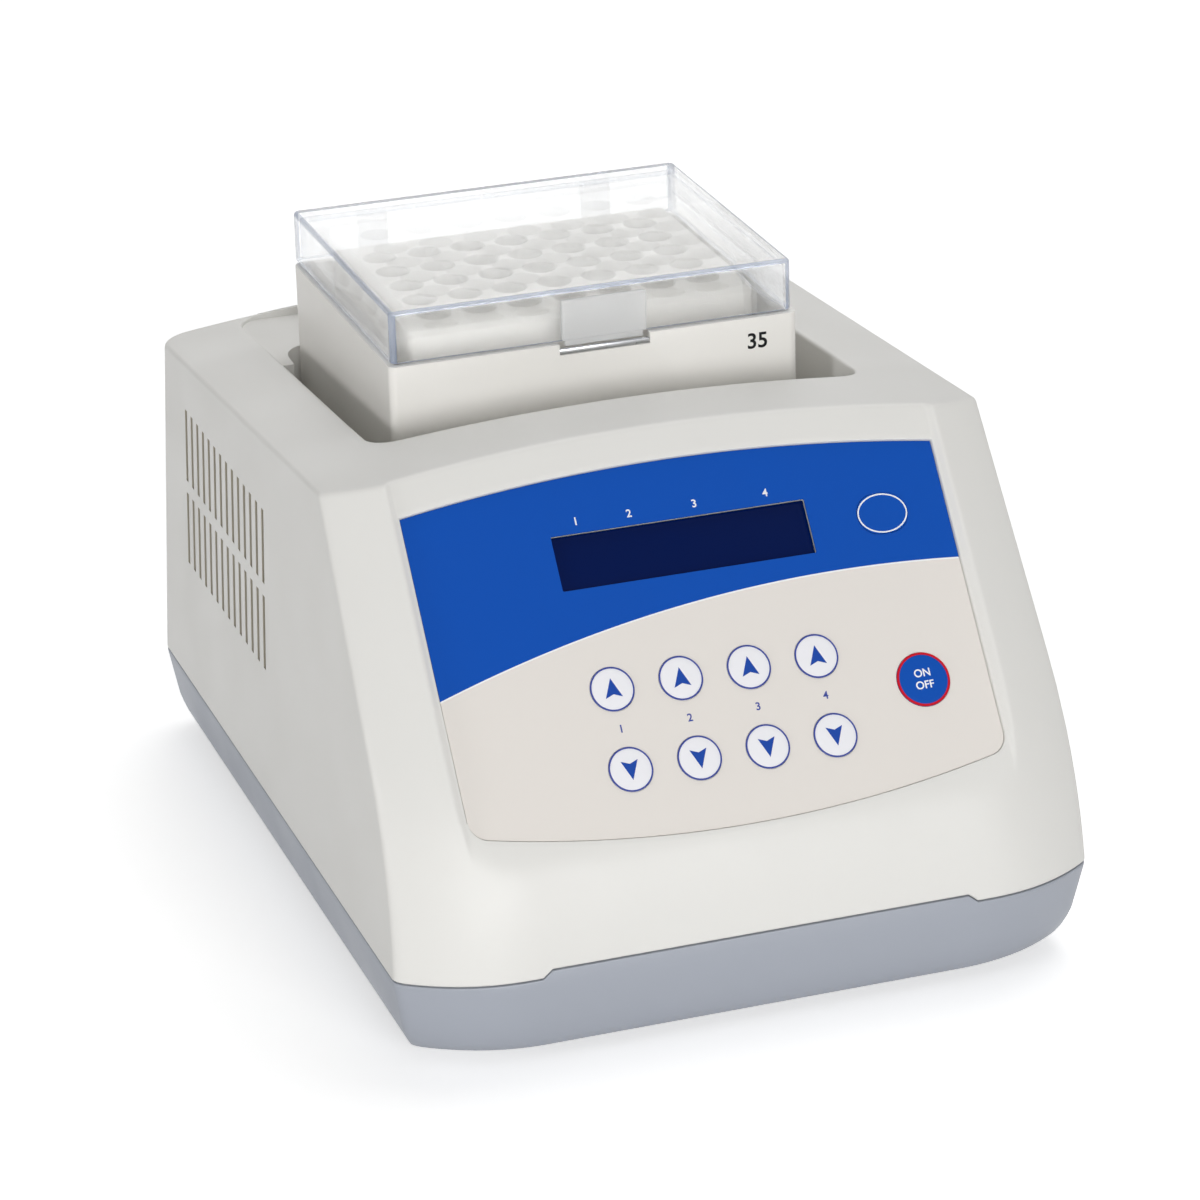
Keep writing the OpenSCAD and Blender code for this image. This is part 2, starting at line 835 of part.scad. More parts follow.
module at_motor_screws(z)
    for (a = [45:90:315])
        translate([-throw + motor_screw_circle * cos(a), axis_y + motor_screw_circle * sin(a), z])
            children();

module motor_case() color([0.35, 0.36, 0.38])
    difference() {
        translate([-throw, axis_y, motor_bottom])
            cylinder(r = motor_d / 2, h = motor_h);
        translate([-throw, axis_y, motor_bottom + motor_end_t])
            cylinder(r = motor_d / 2 - motor_wall, h = motor_h - 2 * motor_end_t);
        translate([-throw, axis_y, motor_bottom - 1])
            cylinder(r = bearing_r, h = motor_h + 2);
        at_motor_screws(bridge_z - motor_end_t - 1)
            cylinder(r = motor_screw_r + seat_gap, h = motor_end_t + 2);
    }

module motor_stator() color([0.72, 0.45, 0.2])
    translate([-throw, axis_y, motor_bottom + motor_end_t + 2])
        ring(rotor_r + 1, motor_d / 2 - motor_wall, motor_h - 2 * motor_end_t - 4);

module motor_bearings() color([0.8, 0.8, 0.82])
    for (z = [motor_bottom, bridge_z - bearing_h])
        translate([-throw, axis_y, z])
            ring(shaft_r + running_gap, bearing_r, bearing_h);

module idler_bushes() color([0.8, 0.65, 0.35])
    for (p = idler_places)
        translate([p.x - throw, p.y, bridge_z])
            ring(idler_r + running_gap, bush_r, bridge_t);

module drive_shaft() color([0.62, 0.63, 0.65]) {
    translate([-throw, axis_y, motor_bottom + 1])
        cylinder(r = shaft_r, h = hub_z - motor_bottom);
    translate([-throw, axis_y, hub_z])
        cylinder(r = hub_r, h = hub_h);
    translate([0, axis_y, hub_top - eps])
        cylinder(r = shaft_r, h = carriage_top - hub_top);
}

module motor_rotor() color([0.25, 0.25, 0.28])
    translate([-throw, axis_y, motor_bottom + bearing_h + 1.5])
        ring(shaft_r, rotor_r, motor_h - 2 * bearing_h - 3);

module counterweight() color([0.5, 0.5, 0.52])
    translate([-throw, axis_y, hub_z])
        difference() {
            intersection() {
                cylinder(r = hub_r + 16, h = hub_h);
                translate([-far / 2 - 2, 0, 0])
                    cube([far, 2 * (hub_r + 9), far], center = true);
                translate([-far / 2, 0, 0])
                    cube([far, far, far], center = true);
            }
            translate([0, 0, -1])
                cylinder(r = hub_r, h = hub_h + 2);
        }

module idler_crank(p) color([0.6, 0.61, 0.63]) {
    translate([p.x - throw, p.y, bridge_z - 1])
        cylinder(r = idler_r, h = hub_z - bridge_z + 1 + eps);
    translate([p.x - throw / 2, p.y, hub_z])
        cylinder(r = idler_r + 5, h = hub_h);
    translate([p.x, p.y, hub_top - eps])
        cylinder(r = idler_r + 1.5, h = carriage_z - hub_top - running_gap);
    translate([p.x, p.y, hub_top - eps])
        cylinder(r = idler_r, h = carriage_top - hub_top);
}

module idler_front_left() idler_crank(idler_places[0]);
module idler_front_right() idler_crank(idler_places[1]);
module idler_back() idler_crank(idler_places[2]);

module at_posts(z)
    for (x = [-1, 1], y = [-1, 1])
        translate([x * post_x, block_y + y * post_dy, z])
            children();

module carriage_plate() color([0.76, 0.77, 0.79])
    difference() {
        translate([0, block_y, carriage_z])
            rounded_plate(carriage_w, carriage_d, plate_corner_r, carriage_t);
        translate([0, axis_y, carriage_z - 1])
            cylinder(r = bearing_r, h = carriage_t + 2);
        for (p = idler_places)
            translate([p.x, p.y, carriage_z - 1])
                cylinder(r = bush_r, h = carriage_t + 2);
    }

module carriage_bearings() color([0.8, 0.8, 0.82]) {
    translate([0, axis_y, carriage_z])
        ring(shaft_r + running_gap, bearing_r, carriage_t);
    for (p = idler_places)
        translate([p.x, p.y, carriage_z])
            ring(idler_r + running_gap, bush_r, carriage_t);
}

module carriage_posts() color([0.72, 0.73, 0.75])
    at_posts(carriage_top)
        cylinder(r = post_r, h = sink_bottom - carriage_top);

module heat_sink() color([0.7, 0.72, 0.74])
    difference() {
        union() {
            translate([0, block_y, sink_bottom])
                box(sink_w, sink_d, sink_base_t);
            for (i = [0:fin_count - 1])
                translate([(i / (fin_count - 1) - 0.5) * fin_field_w, block_y, sink_bottom - fin_h])
                    box(fin_t, sink_d, fin_h + eps);
        }
        at_block_screws(sink_bottom - 1)
            cylinder(r = screw_r + seat_gap, h = sink_base_t + 2);
    }

module peltier_modules() color([0.92, 0.92, 0.9])
    for (x = [-1, 1], y = [-1, 1])
        translate([x * (peltier_side / 2 + 2), block_y + y * (peltier_side / 2 + 1.5), peltier_bottom])
            box(peltier_side, peltier_side, peltier_t);

module at_block_screws(z)
    for (x = [-1, 1], y = [-1, 1])
        translate([x * block_screw_x, block_y + y * block_screw_dy, z])
            children();

module tube_block() color([0.8, 0.8, 0.81])
    difference() {
        translate([0, block_y, block_bottom])
            rounded_plate(block_w, block_d, 2, block_h);
        for (i = [0:well_columns - 1], j = [0:well_rows - 1])
            translate([(i - (well_columns - 1) / 2) * well_pitch,
                    block_y + (j - (well_rows - 1) / 2) * well_pitch, block_top]) {
                translate([0, 0, -well_depth + well_r])
                    cylinder(r = well_r, h = well_depth);
                translate([0, 0, -well_depth + well_r])
                    sphere(r = well_r);
                translate([0, 0, -well_rim])
                    cylinder(r1 = well_r, r2 = well_r + 2 * well_rim, h = 2 * well_rim);
            }
        at_block_screws(block_bottom - 1)
            cylinder(r = screw_r + seat_gap / 2, h = 5);
        translate([0, block_y, probe_z])
            rotate([-90, 0, 0])
                cylinder(r = probe_d / 2 + seat_gap, h = block_d);
    }

module block_screws() color([0.7, 0.7, 0.72])
    at_block_screws(sink_bottom - 2.5)
        screw(3.4, 2.5, sink_base_t + peltier_t + 3);

module insulation() color([0.2, 0.2, 0.21]) {
    bottom = peltier_bottom + ledge_t + seat_gap;
    difference() {
        translate([0, housing_y, bottom])
            rounded_plate(housing_w - 2 * housing_wall - 0.6, housing_d - 2 * housing_wall - 0.6,
                housing_inner_r, insulation_h);
        translate([0, block_y, bottom - 1])
            box(block_w + 0.6, block_d + 0.6, insulation_h + 2);
        translate([0, block_y, probe_z])
            rotate([-90, 0, 0])
                cylinder(r = probe_d / 2 + seat_gap, h = housing_d);
    }
}

module temperature_probe() color([0.75, 0.75, 0.76])
    translate([0, block_y + block_d / 2 - probe_insert, probe_z])
        rotate([-90, 0, 0])
            cylinder(r = probe_d / 2, h = probe_insert + probe_reach);

module housing() color([0.84, 0.83, 0.81])
    difference() {
        union() {
            translate([0, housing_y, housing_bottom])
                rounded_plate(housing_w, housing_d, housing_corner_r, housing_h);
            for (s = [-1, 1], t = [-1, 1])
                translate([s * hinge_x + t * (hinge_tab_w / 2 + fit_gap + 1.5), 0, 0])
                    hinge_ear();
        }
        difference() {
            translate([0, housing_y, housing_bottom - 1])
                rounded_plate(housing_w - 2 * housing_wall, housing_d - 2 * housing_wall,
                    housing_inner_r, far);
            translate([0, housing_y, peltier_bottom])
                difference() {
                    box(housing_w, housing_d, ledge_t);
                    translate([0, block_y - housing_y, -1])
                        box(2 * block_screw_x + 8, 2 * block_screw_dy + 26, ledge_t + 2);
                }
        }
        translate([-far / 2, hinge_y, hinge_z])
            rotate([0, 90, 0])
                cylinder(r = hinge_pin_d / 2, h = far);
        translate([clip_x - clip_w / 2 - 1, housing_front - 1, rim_z - notch_h])
            cube([clip_w + 2, housing_wall + 2, far]);
    }

// One ear of a hinge on the back of the housing, centred on x = 0
module hinge_ear()
    translate([-1.5, 0, 0])
        rotate([90, 0, 90])
            linear_extrude(3) {
                translate([hinge_y, hinge_z])
                    circle(barrel_r);
                translate([housing_back - 1, hinge_z - barrel_r])
                    square([hinge_y - housing_back + 1, barrel_r]);
                translate([housing_back - 1, hinge_z - barrel_r - 4])
                    square([2.5, 6]);
            }

// Steel bar across the notch, which the lid's clip snaps over
module latch_catch() color([0.8, 0.8, 0.82])
    translate([clip_x - clip_w / 2 - 1, housing_front + 0.3, rim_z - notch_h])
        cube([clip_w + 2, housing_wall - 0.8, 1.8]);

module hinge_pins() color([0.75, 0.75, 0.76])
    for (s = [-1, 1])
        translate([s * hinge_x - hinge_tab_w / 2 - fit_gap - 3, hinge_y, hinge_z])
            rotate([0, 90, 0])
                cylinder(r = hinge_pin_d / 2 - running_gap, h = hinge_tab_w + 2 * fit_gap + 6);

module lid() color([0.8, 0.85, 0.9, 0.4]) {
    difference() {
        translate([0, lid_front + lid_d / 2, lid_bottom])
            rounded_plate(lid_w, lid_d, 3, lid_h);
        translate([0, lid_front + lid_d / 2, lid_bottom - 1])
            rounded_plate(lid_w - 2 * lid_wall, lid_d - 2 * lid_wall, 1.5, lid_h - lid_wall + 1);
    }
    // Front clip: a thick pad with a hook that drops into the notch of the rim
    translate([clip_x - clip_w / 2, housing_front - 0.2, lid_bottom])
        cube([clip_w, lid_front - housing_front + 0.7, clip_h]);
    translate([clip_x - clip_w / 2 + 1, housing_front + 0.6, rim_z - 1])
        cube([clip_w - 2, 1.4, lid_bottom - rim_z + 1 + eps]);
}

module hinge_tabs() color([0.8, 0.85, 0.9, 0.5])
    for (s = [-1, 1])
        translate([s * hinge_x - hinge_tab_w / 2, 0, 0])
            rotate([90, 0, 90])
                linear_extrude(hinge_tab_w)
                    difference() {
                        union() {
                            translate([lid_back, hinge_z])
                                square([hinge_tab_t, lid_bottom + 12 - hinge_z]);
                            translate([hinge_y, hinge_z])
                                circle(barrel_r);
                        }
                        translate([hinge_y, hinge_z])
                            circle(hinge_pin_d / 2 + running_gap);
                    }

module panel_overlay() color([0.1, 0.35, 0.72])
    on_panel()
        translate([0, 0, pocket_floor])
            linear_extrude(overlay_t)
                difference() {
                    overlay_outline(0);
                    key_hole_outlines(key_gap);
                    display_outline(0);
                }

module display_window() color([0.03, 0.1, 0.3])
    on_panel()
        translate([0, 0, panel_back])
            linear_extrude(case_wall - 0.5)
                display_outline(-0.2);

module display_module() color([0.1, 0.3, 0.15])
    on_panel()
        translate([0, -display_v, panel_board_top])
            box(display_w + 12, display_h + 16, module_t);

module panel_board() color([0.1, 0.35, 0.2]) {
    board_h = panel_board_v1 - panel_board_v0;
    on_panel()
        translate([0, -(panel_board_v0 + panel_board_v1) / 2, panel_board_top - board_t])
            difference() {
                box(panel_board_w, board_h, board_t);
                for (x = [-1, 1], y = [-1, 1])
                    translate([x * (panel_board_w / 2 - 5), y * (board_h / 2 - 5), -1])
                        cylinder(r = 1.6, h = board_t + 2);
            }
}

// Places of the ten keys: [x, distance below the deck edge]
key_places = concat([for (v = [key_up_v, key_down_v], x = key_xs) [x, v]],
    [[side_key_x, mix_v], [side_key_x, start_v]]);

module key_switches() color([0.12, 0.12, 0.13])
    on_panel()
        for (p = key_places)
            translate([p.x, -p.y, panel_board_top]) {
                box(6, 6, switch_top - panel_board_top - 0.8);
                cylinder(r = 1.7, h = switch_top - panel_board_top);
            }

module key_stem()
    translate([0, 0, stem_end])
        cylinder(r = stem_r, h = key_floor - stem_end + eps);

module round_key(d) {
    translate([0, 0, key_floor])
        cylinder(r = d / 2, h = overlay_face + key_proud - key_floor);
    key_stem();
}

module arrow_key(i) color([0.95, 0.95, 0.97])
    on_panel()
        translate([key_places[i].x, -key_places[i].y, 0])
            round_key(key_d);

module key_up_1() arrow_key(0);
module key_up_2() arrow_key(1);
module key_up_3() arrow_key(2);
module key_up_4() arrow_key(3);
module key_down_1() arrow_key(4);
module key_down_2() arrow_key(5);
module key_down_3() arrow_key(6);
module key_down_4() arrow_key(7);

module key_short_mix() color([0.1, 0.35, 0.72])
    on_panel()
        translate([side_key_x, -mix_v, 0]) {
            translate([0, 0, key_floor])
                linear_extrude(overlay_face + key_proud - key_floor)
                    key_pill(mix_w, mix_h);
            key_stem();
        }

module key_start() color([0.12, 0.3, 0.75])
    on_panel()
        translate([side_key_x, -start_v, 0])
            round_key(start_d);

module ribbon_cable() color([0.6, 0.6, 0.62]) {
    start = edge - face_up * (panel_board_v1 - 17) + face_out * (panel_board_top - board_t);
    end = [control_y + 10, board_z + board_t];
    translate([control_x - ribbon_w - 6, 0, 0])
        rotate([90, 0, 90])
            linear_extrude(ribbon_w)
                polygon([start, start + [3, 0], end + [1, 8], end + [1, 0], end, end + [0, 7]]);
}

module board(x, y, w, l) {
    translate([x, y, board_z])
        box(w, l, board_t);
    for (i = [-1, 1], j = [-1, 1])
        translate([x + i * (w / 2 - 5), y + j * (l / 2 - 5), chassis_top])
            cylinder(r = 2.5, h = board_z - chassis_top + eps);
}

module control_board() color([0.12, 0.38, 0.22]) {
    board(control_x, control_y, control_w, control_l);
    translate([control_x + 12, control_y - 12, board_z + board_t])
        box(14, 14, 2);
    translate([control_x - 16, control_y - 18, board_z + board_t])
        box(22, 8, 8);
    for (i = [0:3])
        translate([control_x + 8 + i * 8, control_y + 16, board_z + board_t])
            box(5, 8, 14);
}

module power_supply() color([0.55, 0.5, 0.3]) {
    board(supply_x, supply_y, supply_w, supply_l);
    translate([supply_x + 6, supply_y, board_z + board_t])
        box(transformer.x, transformer.y, transformer.z);
    for (y = [-1, 1])
        translate([supply_x - 24, supply_y + y * 14, board_z + board_t])
            cylinder(r = capacitor_r, h = capacitor_h);
    translate([supply_x + 32, supply_y, board_z + board_t])
        box(supply_fin.x, supply_fin.y, supply_fin.z);
}

module mains_wires() color([0.15, 0.15, 0.16])
    for (i = [0:2]) {
        x = inlet_x - 10 + 5 * i;
        z = chassis_top + wire_r + 0.3 + wire_step * i;
        back = back_y - inlet_d - 3;
        side = -throw + pillar_x + pillar_r + wire_r + 1;
        front = supply_y + supply_l / 2 + 7;
        end_x = supply_x + 8 + 6 * i;
        path = [[x, back + 3, inlet_z - 9], [x, back, inlet_z - 9], [x, back, z], [side, back, z],
            [side, front, z], [end_x, front, z], [end_x, front - 7.2, board_z + board_t / 2]];
        for (k = [0:len(path) - 2])
            rod(path[k], path[k + 1], wire_r);
        for (k = [1:len(path) - 2])
            translate(path[k])
                sphere(r = wire_r, $fn = 24);
    }

module back_panel() color([0.3, 0.31, 0.33])
    difference() {
        translate([-back_panel_w / 2 + panel_gap, back_y - back_panel_t, back_panel_z + panel_gap])
            cube([back_panel_w - 2 * panel_gap, back_panel_t, back_panel_h - 2 * panel_gap]);
        translate([inlet_x, back_y, inlet_z - inlet_h / 2])
            box(inlet_w, 20, inlet_h + fuse_z - inlet_z);
        translate([switch_x, back_y, switch_z - switch_h / 2])
            box(switch_w, 20, switch_h);
        for (i = [-4:4])
            translate([fan_x + i * 6, back_y, fan_z])
                cube([3.4, 20, 2 * sqrt(pow(fan_bore_r - 1, 2) - pow(i * 6, 2))], center = true);
        at_panel_screws(2.5)
            cylinder(r = panel_screw_r + seat_gap, h = 20, center = true);
    }

module at_panel_screws(y)
    for (x = [-1, 1], z = [-1, 1])
        translate([x * (back_panel_w / 2 - ledge_w / 2), back_y + y,
                back_panel_z + back_panel_h / 2 + z * (back_panel_h / 2 - ledge_w / 2)])
            rotate([90, 0, 0])
                children();

// Screws of the panel board and of the back panel
module panel_screws() color([0.7, 0.7, 0.72]) {
    on_panel()
        for (x = [-1, 1], v = [panel_board_v0 + 5, panel_board_v1 - 5])
            translate([x * (panel_board_w / 2 - 5), -v, panel_board_top - board_t - 2]) {
                cylinder(r = 2.8, h = 2);
                cylinder(r = panel_screw_r, h = 2 + board_t);
            }
    at_panel_screws(1.6) {
        cylinder(r = 2.6, h = 1.6);
        cylinder(r = panel_screw_r, h = 1.6 + back_panel_t + 2);
    }
}

module power_inlet() color([0.12, 0.12, 0.13])
    difference() {
        union() {
            translate([inlet_x, back_y - inlet_d / 2, inlet_z - inlet_h / 2 + seat_gap])
                box(inlet_w - 2 * seat_gap, inlet_d, inlet_h + fuse_z - inlet_z - 2 * seat_gap);
            translate([inlet_x, back_y + flange_t / 2, inlet_z - inlet_h / 2 - 2])
                box(flange_w, flange_t, inlet_h + fuse_z - inlet_z + 4);
        }
        translate([inlet_x, back_y + flange_t, inlet_z - socket_h / 2])
            box(socket_w, 2 * socket_d, socket_h);
        translate([inlet_x, back_y + flange_t, fuse_z - fuse_h / 2])
            box(fuse_w, 2 * (inlet_d - 3), fuse_h);
    }

module fuse_drawer() color([0.2, 0.2, 0.21])
    translate([inlet_x, back_y + flange_t - (inlet_d - 3) / 2 + 0.4, fuse_z - fuse_h / 2 + seat_gap])
        box(fuse_w - 2 * seat_gap, inlet_d - 3, fuse_h - 2 * seat_gap);

module mains_switch() color([0.1, 0.1, 0.11])
    difference() {
        union() {
            translate([switch_x, back_y - switch_d / 2, switch_z - switch_h / 2 + seat_gap])
                box(switch_w - 2 * seat_gap, switch_d, switch_h - 2 * seat_gap);
            translate([switch_x, back_y + 1, switch_z - switch_h / 2 - 1.5])
                box(switch_w + 4, 2, switch_h + 3);
        }
        translate([switch_x, back_y + 2, switch_z - switch_h / 2 + 1.4])
            box(switch_w - 3, 16, switch_h - 2.8);
    }

// A rocker with two flat faces, tilted to its off side about the pivot
module mains_rocker() color([0.12, 0.12, 0.13])
    translate([switch_x - rocker_w / 2, back_y + rocker_y, switch_z])
        rotate([90, 0, 90]) {
            cylinder(r = rocker_hub_r, h = rocker_w);
            linear_extrude(rocker_w)
                rotate(-rocker_swing / 2)
                    polygon([[0, -rocker_h / 2], [rocker_face, -rocker_h / 2], [rocker_face - 1, 0],
                        [rocker_face, rocker_h / 2], [0, rocker_h / 2], [-3.5, 1.5], [-3.5, -1.5]]);
        }

module fan_frame() color([0.13, 0.13, 0.14])
    translate([fan_x, fan_y, fan_z])
        rotate([-90, 0, 0]) {
            difference() {
                translate([-fan_side / 2, -fan_side / 2, 0])
                    cube([fan_side, fan_side, fan_t - 0.2]);
                translate([0, 0, -1])
                    cylinder(r = fan_bore_r, h = fan_t + 2);
            }
            ring(1.5 + running_gap, fan_hub_r, 2.5);
            for (a = [0:90:270])
                rotate(a + 45)
                    translate([fan_hub_r - 1, -1.5, 0.2])
                        cube([fan_bore_r - fan_hub_r + 2, 3, 2.1]);
        }

module fan_rotor() color([0.2, 0.2, 0.21])
    translate([fan_x, fan_y, fan_z])
        rotate([-90, 0, 0]) {
            cylinder(r = 1.5, h = 4);
            translate([0, 0, 3])
                cylinder(r = fan_hub_r, h = fan_t - 4.5);
            for (i = [0:fan_blades - 1])
                rotate(i * 360 / fan_blades)
                    translate([fan_hub_r - 1, 0, fan_t / 2 + 0.8])
                        rotate([38, 0, 0])
                            translate([0, -5.5, -0.7])
                                cube([fan_bore_r - fan_hub_r - 0.6, 11, 1.4]);
        }

top_shell();
splash_tub();
base_tray();
rubber_feet();
case_screws();
chassis_plate();
frame_screws();
frame_pillars();
bridge_plate();
motor_case();
motor_stator();
motor_bearings();
idler_bushes();
drive_shaft();
motor_rotor();
counterweight();
idler_front_left();
idler_front_right();
idler_back();
carriage_plate();
carriage_bearings();
carriage_posts();
heat_sink();
peltier_modules();
tube_block();
block_screws();
insulation();
temperature_probe();
housing();
latch_catch();
hinge_pins();
lid();
hinge_tabs();
panel_overlay();
display_window();
display_module();
panel_board();
key_switches();
ribbon_cable();
control_board();
power_supply();
mains_wires();
back_panel();
panel_screws();
power_inlet();
fuse_drawer();
mains_switch();
mains_rocker();
fan_frame();
fan_rotor();
key_up_1();
key_up_2();
key_up_3();
key_up_4();
key_down_1();
key_down_2();
key_down_3();
key_down_4();
key_short_mix();
key_start();
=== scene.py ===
"""A bench thermal mixer, dressed over its packed construction.

Each operator makes one piece, or one group of like pieces, from the named sizes below. Lengths in the
functions are in millimetres, and a piece's mesh is written in metres where the construction has it.
"""

import json
import math

import bmesh
import bpy
import numpy as np
from bpy.props import FloatProperty, FloatVectorProperty, PointerProperty
from mathutils import Matrix, Vector


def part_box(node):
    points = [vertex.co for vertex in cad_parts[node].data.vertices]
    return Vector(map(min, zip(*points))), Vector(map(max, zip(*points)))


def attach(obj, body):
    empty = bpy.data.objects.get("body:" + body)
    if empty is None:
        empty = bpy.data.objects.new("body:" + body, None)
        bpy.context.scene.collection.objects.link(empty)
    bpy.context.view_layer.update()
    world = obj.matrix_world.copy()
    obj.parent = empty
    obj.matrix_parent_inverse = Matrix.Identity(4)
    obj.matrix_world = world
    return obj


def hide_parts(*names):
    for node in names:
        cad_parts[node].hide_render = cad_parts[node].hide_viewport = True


bl_info = {
    "name": "Thermal Mixer",
    "version": (1, 0, 0),
    "blender": (4, 5, 0),
    "location": "View3D > Sidebar > Thermal Mixer",
    "description": "Builds the visible pieces of a bench thermal mixer",
    "category": "Add Mesh",
}

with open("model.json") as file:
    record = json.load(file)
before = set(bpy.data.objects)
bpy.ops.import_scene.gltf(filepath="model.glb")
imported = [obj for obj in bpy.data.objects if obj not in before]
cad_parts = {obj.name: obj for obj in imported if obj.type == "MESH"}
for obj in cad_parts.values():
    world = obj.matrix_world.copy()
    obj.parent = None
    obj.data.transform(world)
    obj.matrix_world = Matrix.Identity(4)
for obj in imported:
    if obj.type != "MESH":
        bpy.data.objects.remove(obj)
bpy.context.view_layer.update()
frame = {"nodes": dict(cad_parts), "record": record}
NODES = frame["nodes"]
BODY_OF = {n: b for b, names in frame["record"]["behaviour"]["bodies"].items() for n in names}
SLOT_OF = {s["node"]: s["material_slot"] for s in frame["record"]["subparts"]}
MM = 0.001


def node_box(node):
    """Lowest and highest corner of a construction node, in millimetres."""
    low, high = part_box(node)
    return np.array(low) / MM, np.array(high) / MM


# ---------------------------------------------------------------------------
# Sizes of the construction, in millimetres
# ---------------------------------------------------------------------------
HALF_W = 111.5
HALF_D = 147.5
SEAM_Z = 29.5
SEAM_GAP = 0.4
SEAM_STEP_H = 2.4
SEAM_STEP_NARROW = 66.5
SEAM_STEP_WIDE = 69.5
SIDE_DRAFT = math.tan(math.radians(2.2))
BACK_DRAFT = math.tan(math.radians(3.5))
CORNER_DROP = 14.0
CORNER_RUN = 39.0
CORNER_POWER = 2.2
BACK_CORNER_R = 10.0
FOOT_H = 4.0

DECK_Y = -60.0
DECK_Z = 164.5
DECK_SLOPE = math.tan(math.radians(4.4))
CROWN_R = 752.0

FACE_TILT = math.radians(52.1)
FOOT_TILT = math.radians(84.0)
BEND_R = 115.0
RAIL_H = 4.2
FACE_HALF_W = 86.5
FACE_UP = np.array([0.0, math.cos(FACE_TILT), math.sin(FACE_TILT)])
FACE_OUT = np.array([0.0, -math.sin(FACE_TILT), math.cos(FACE_TILT)])
DECK_EDGE = np.array([0.0, DECK_Y, DECK_Z])

OVERLAY_HALF_W = 85.6
OVERLAY_TOP = 11.2
OVERLAY_BOTTOM = 127.0
OVERLAY_TOP_R = 560.0
OVERLAY_BOTTOM_R = 392.0
OVERLAY_CORNER_R = 5.0
OVERLAY_FACE = -0.9
OVERLAY_T = 0.6
POCKET_H = 1.5
PRINT_SPLIT_V = 54.2
PRINT_SPLIT_X = 47.0
PRINT_SPLIT_BEND = 0.0012

DISPLAY_W = 81.6
DISPLAY_H = 17.4
DISPLAY_V = 38.8
KEY_XS = [-32.7, -10.9, 10.9, 32.7]
KEY_UP_V = 79.5
KEY_DOWN_V = 104.6
KEY_R = 6.9
SIDE_KEY_X = 64.5
START_V = 92.0
START_R = 8.5
MIX_V = 38.4
MIX_W = 16.3
MIX_H = 12.7
KEY_FLOOR = -2.1
KEY_TOP = -0.7
KEY_CROWN = 0.2
STEM_R = 2.5
STEM_END = -7.5

PIT_HALF_W = 80.7
PIT_FRONT = -26.9
PIT_BACK = 138.1
PIT_FLOOR = 112.0
PIT_CORNER_R = 9.0
TRAY_FRONT = 96.1
TRAY_FLOOR = 141.43
HOLE_HALF_W = 72.2
HOLE_FRONT = -8.0
HOLE_BACK = 111.6
HOLE_BOTTOM = 109.0

VENT_SLOTS = 14
VENT_FRONT = 8.7
VENT_RUN = 95.8
VENT_SLOT_W = 2.6
VENT_ROWS = [(73.7, 98.7), (103.0, 128.0)]

BACK_OPENING = (80.0, 35.0, 123.0)
BACK_PANEL_Y = 136.7
BACK_FRAME_RUN = 3.5
BACK_OPENING_FROM = 120.0

WELL_COLUMNS = 7
WELL_ROWS = 5
WELL_PITCH = 15.0
WELL_R = 5.5
WELL_DEPTH = 38.0

RIM_Z = 173.0
CLIP_X = 3.0
CLIP_W = 28.0
CLIP_H = 14.0


# ---------------------------------------------------------------------------
# Materials
# ---------------------------------------------------------------------------
def srgb(r, g, b):
    """Linear colour of an 8-bit display colour."""
    def line(v):
        v /= 255.0
        return v / 12.92 if v <= 0.04045 else ((v + 0.055) / 1.055) ** 2.4
    return (line(r), line(g), line(b), 1.0)


def add_node(tree, kind, **values):
    """A shader node, with its properties and its inputs set by name."""
    node = tree.nodes.new(kind)
    for name, value in values.items():
        if name in node.inputs:
            node.inputs[name].default_value = value
        else:
            setattr(node, name, value)
    return node


def base_material(name, colour, roughness, metallic=0.0, **sockets):
    """A Principled material with plain values on the shader's own sockets."""
    material = bpy.data.materials.new(name)
    material.use_nodes = True
    shader = material.node_tree.nodes["Principled BSDF"]
    shader.inputs["Base Color"].default_value = colour
    shader.inputs["Roughness"].default_value = roughness
    shader.inputs["Metallic"].default_value = metallic
    for socket, value in sockets.items():
        shader.inputs[socket].default_value = value
    material.diffuse_color = colour
    return material, material.node_tree, shader


def object_coordinates(tree, stretch=(1.0, 1.0, 1.0)):
    """Places in the object's own frame, scaled by stretch."""
    place = add_node(tree, "ShaderNodeTexCoord")
    mapping = add_node(tree, "ShaderNodeMapping", Scale=stretch)
    tree.links.new(place.outputs["Object"], mapping.inputs["Vector"])
    return mapping.outputs["Vector"]


def add_grain(tree, shader, per_metre, height, strength, stretch=(1.0, 1.0, 1.0)):
    """Bump from fine noise, per_metre grains to the metre and height metres high."""
    grain = add_node(tree, "ShaderNodeTexNoise", Scale=per_metre, Detail=3.0, Roughness=0.6)
    bump = add_node(tree, "ShaderNodeBump", Strength=strength, Distance=height)
    tree.links.new(object_coordinates(tree, stretch), grain.inputs["Vector"])
    tree.links.new(grain.outputs["Fac"], bump.inputs["Height"])
    tree.links.new(bump.outputs["Normal"], shader.inputs["Normal"])


def add_patches(tree, shader, low, high, per_metre):
    """Slow change of the gloss over the surface, between low and high roughness."""
    patches = add_node(tree, "ShaderNodeTexNoise", Scale=per_metre, Detail=4.0)
    level = add_node(tree, "ShaderNodeMapRange")
    level.inputs["From Min"].default_value = 0.3
    level.inputs["From Max"].default_value = 0.7
    level.inputs["To Min"].default_value = low
    level.inputs["To Max"].default_value = high
    tree.links.new(object_coordinates(tree), patches.inputs["Vector"])
    tree.links.new(patches.outputs["Fac"], level.inputs["Value"])
    tree.links.new(level.outputs["Result"], shader.inputs["Roughness"])


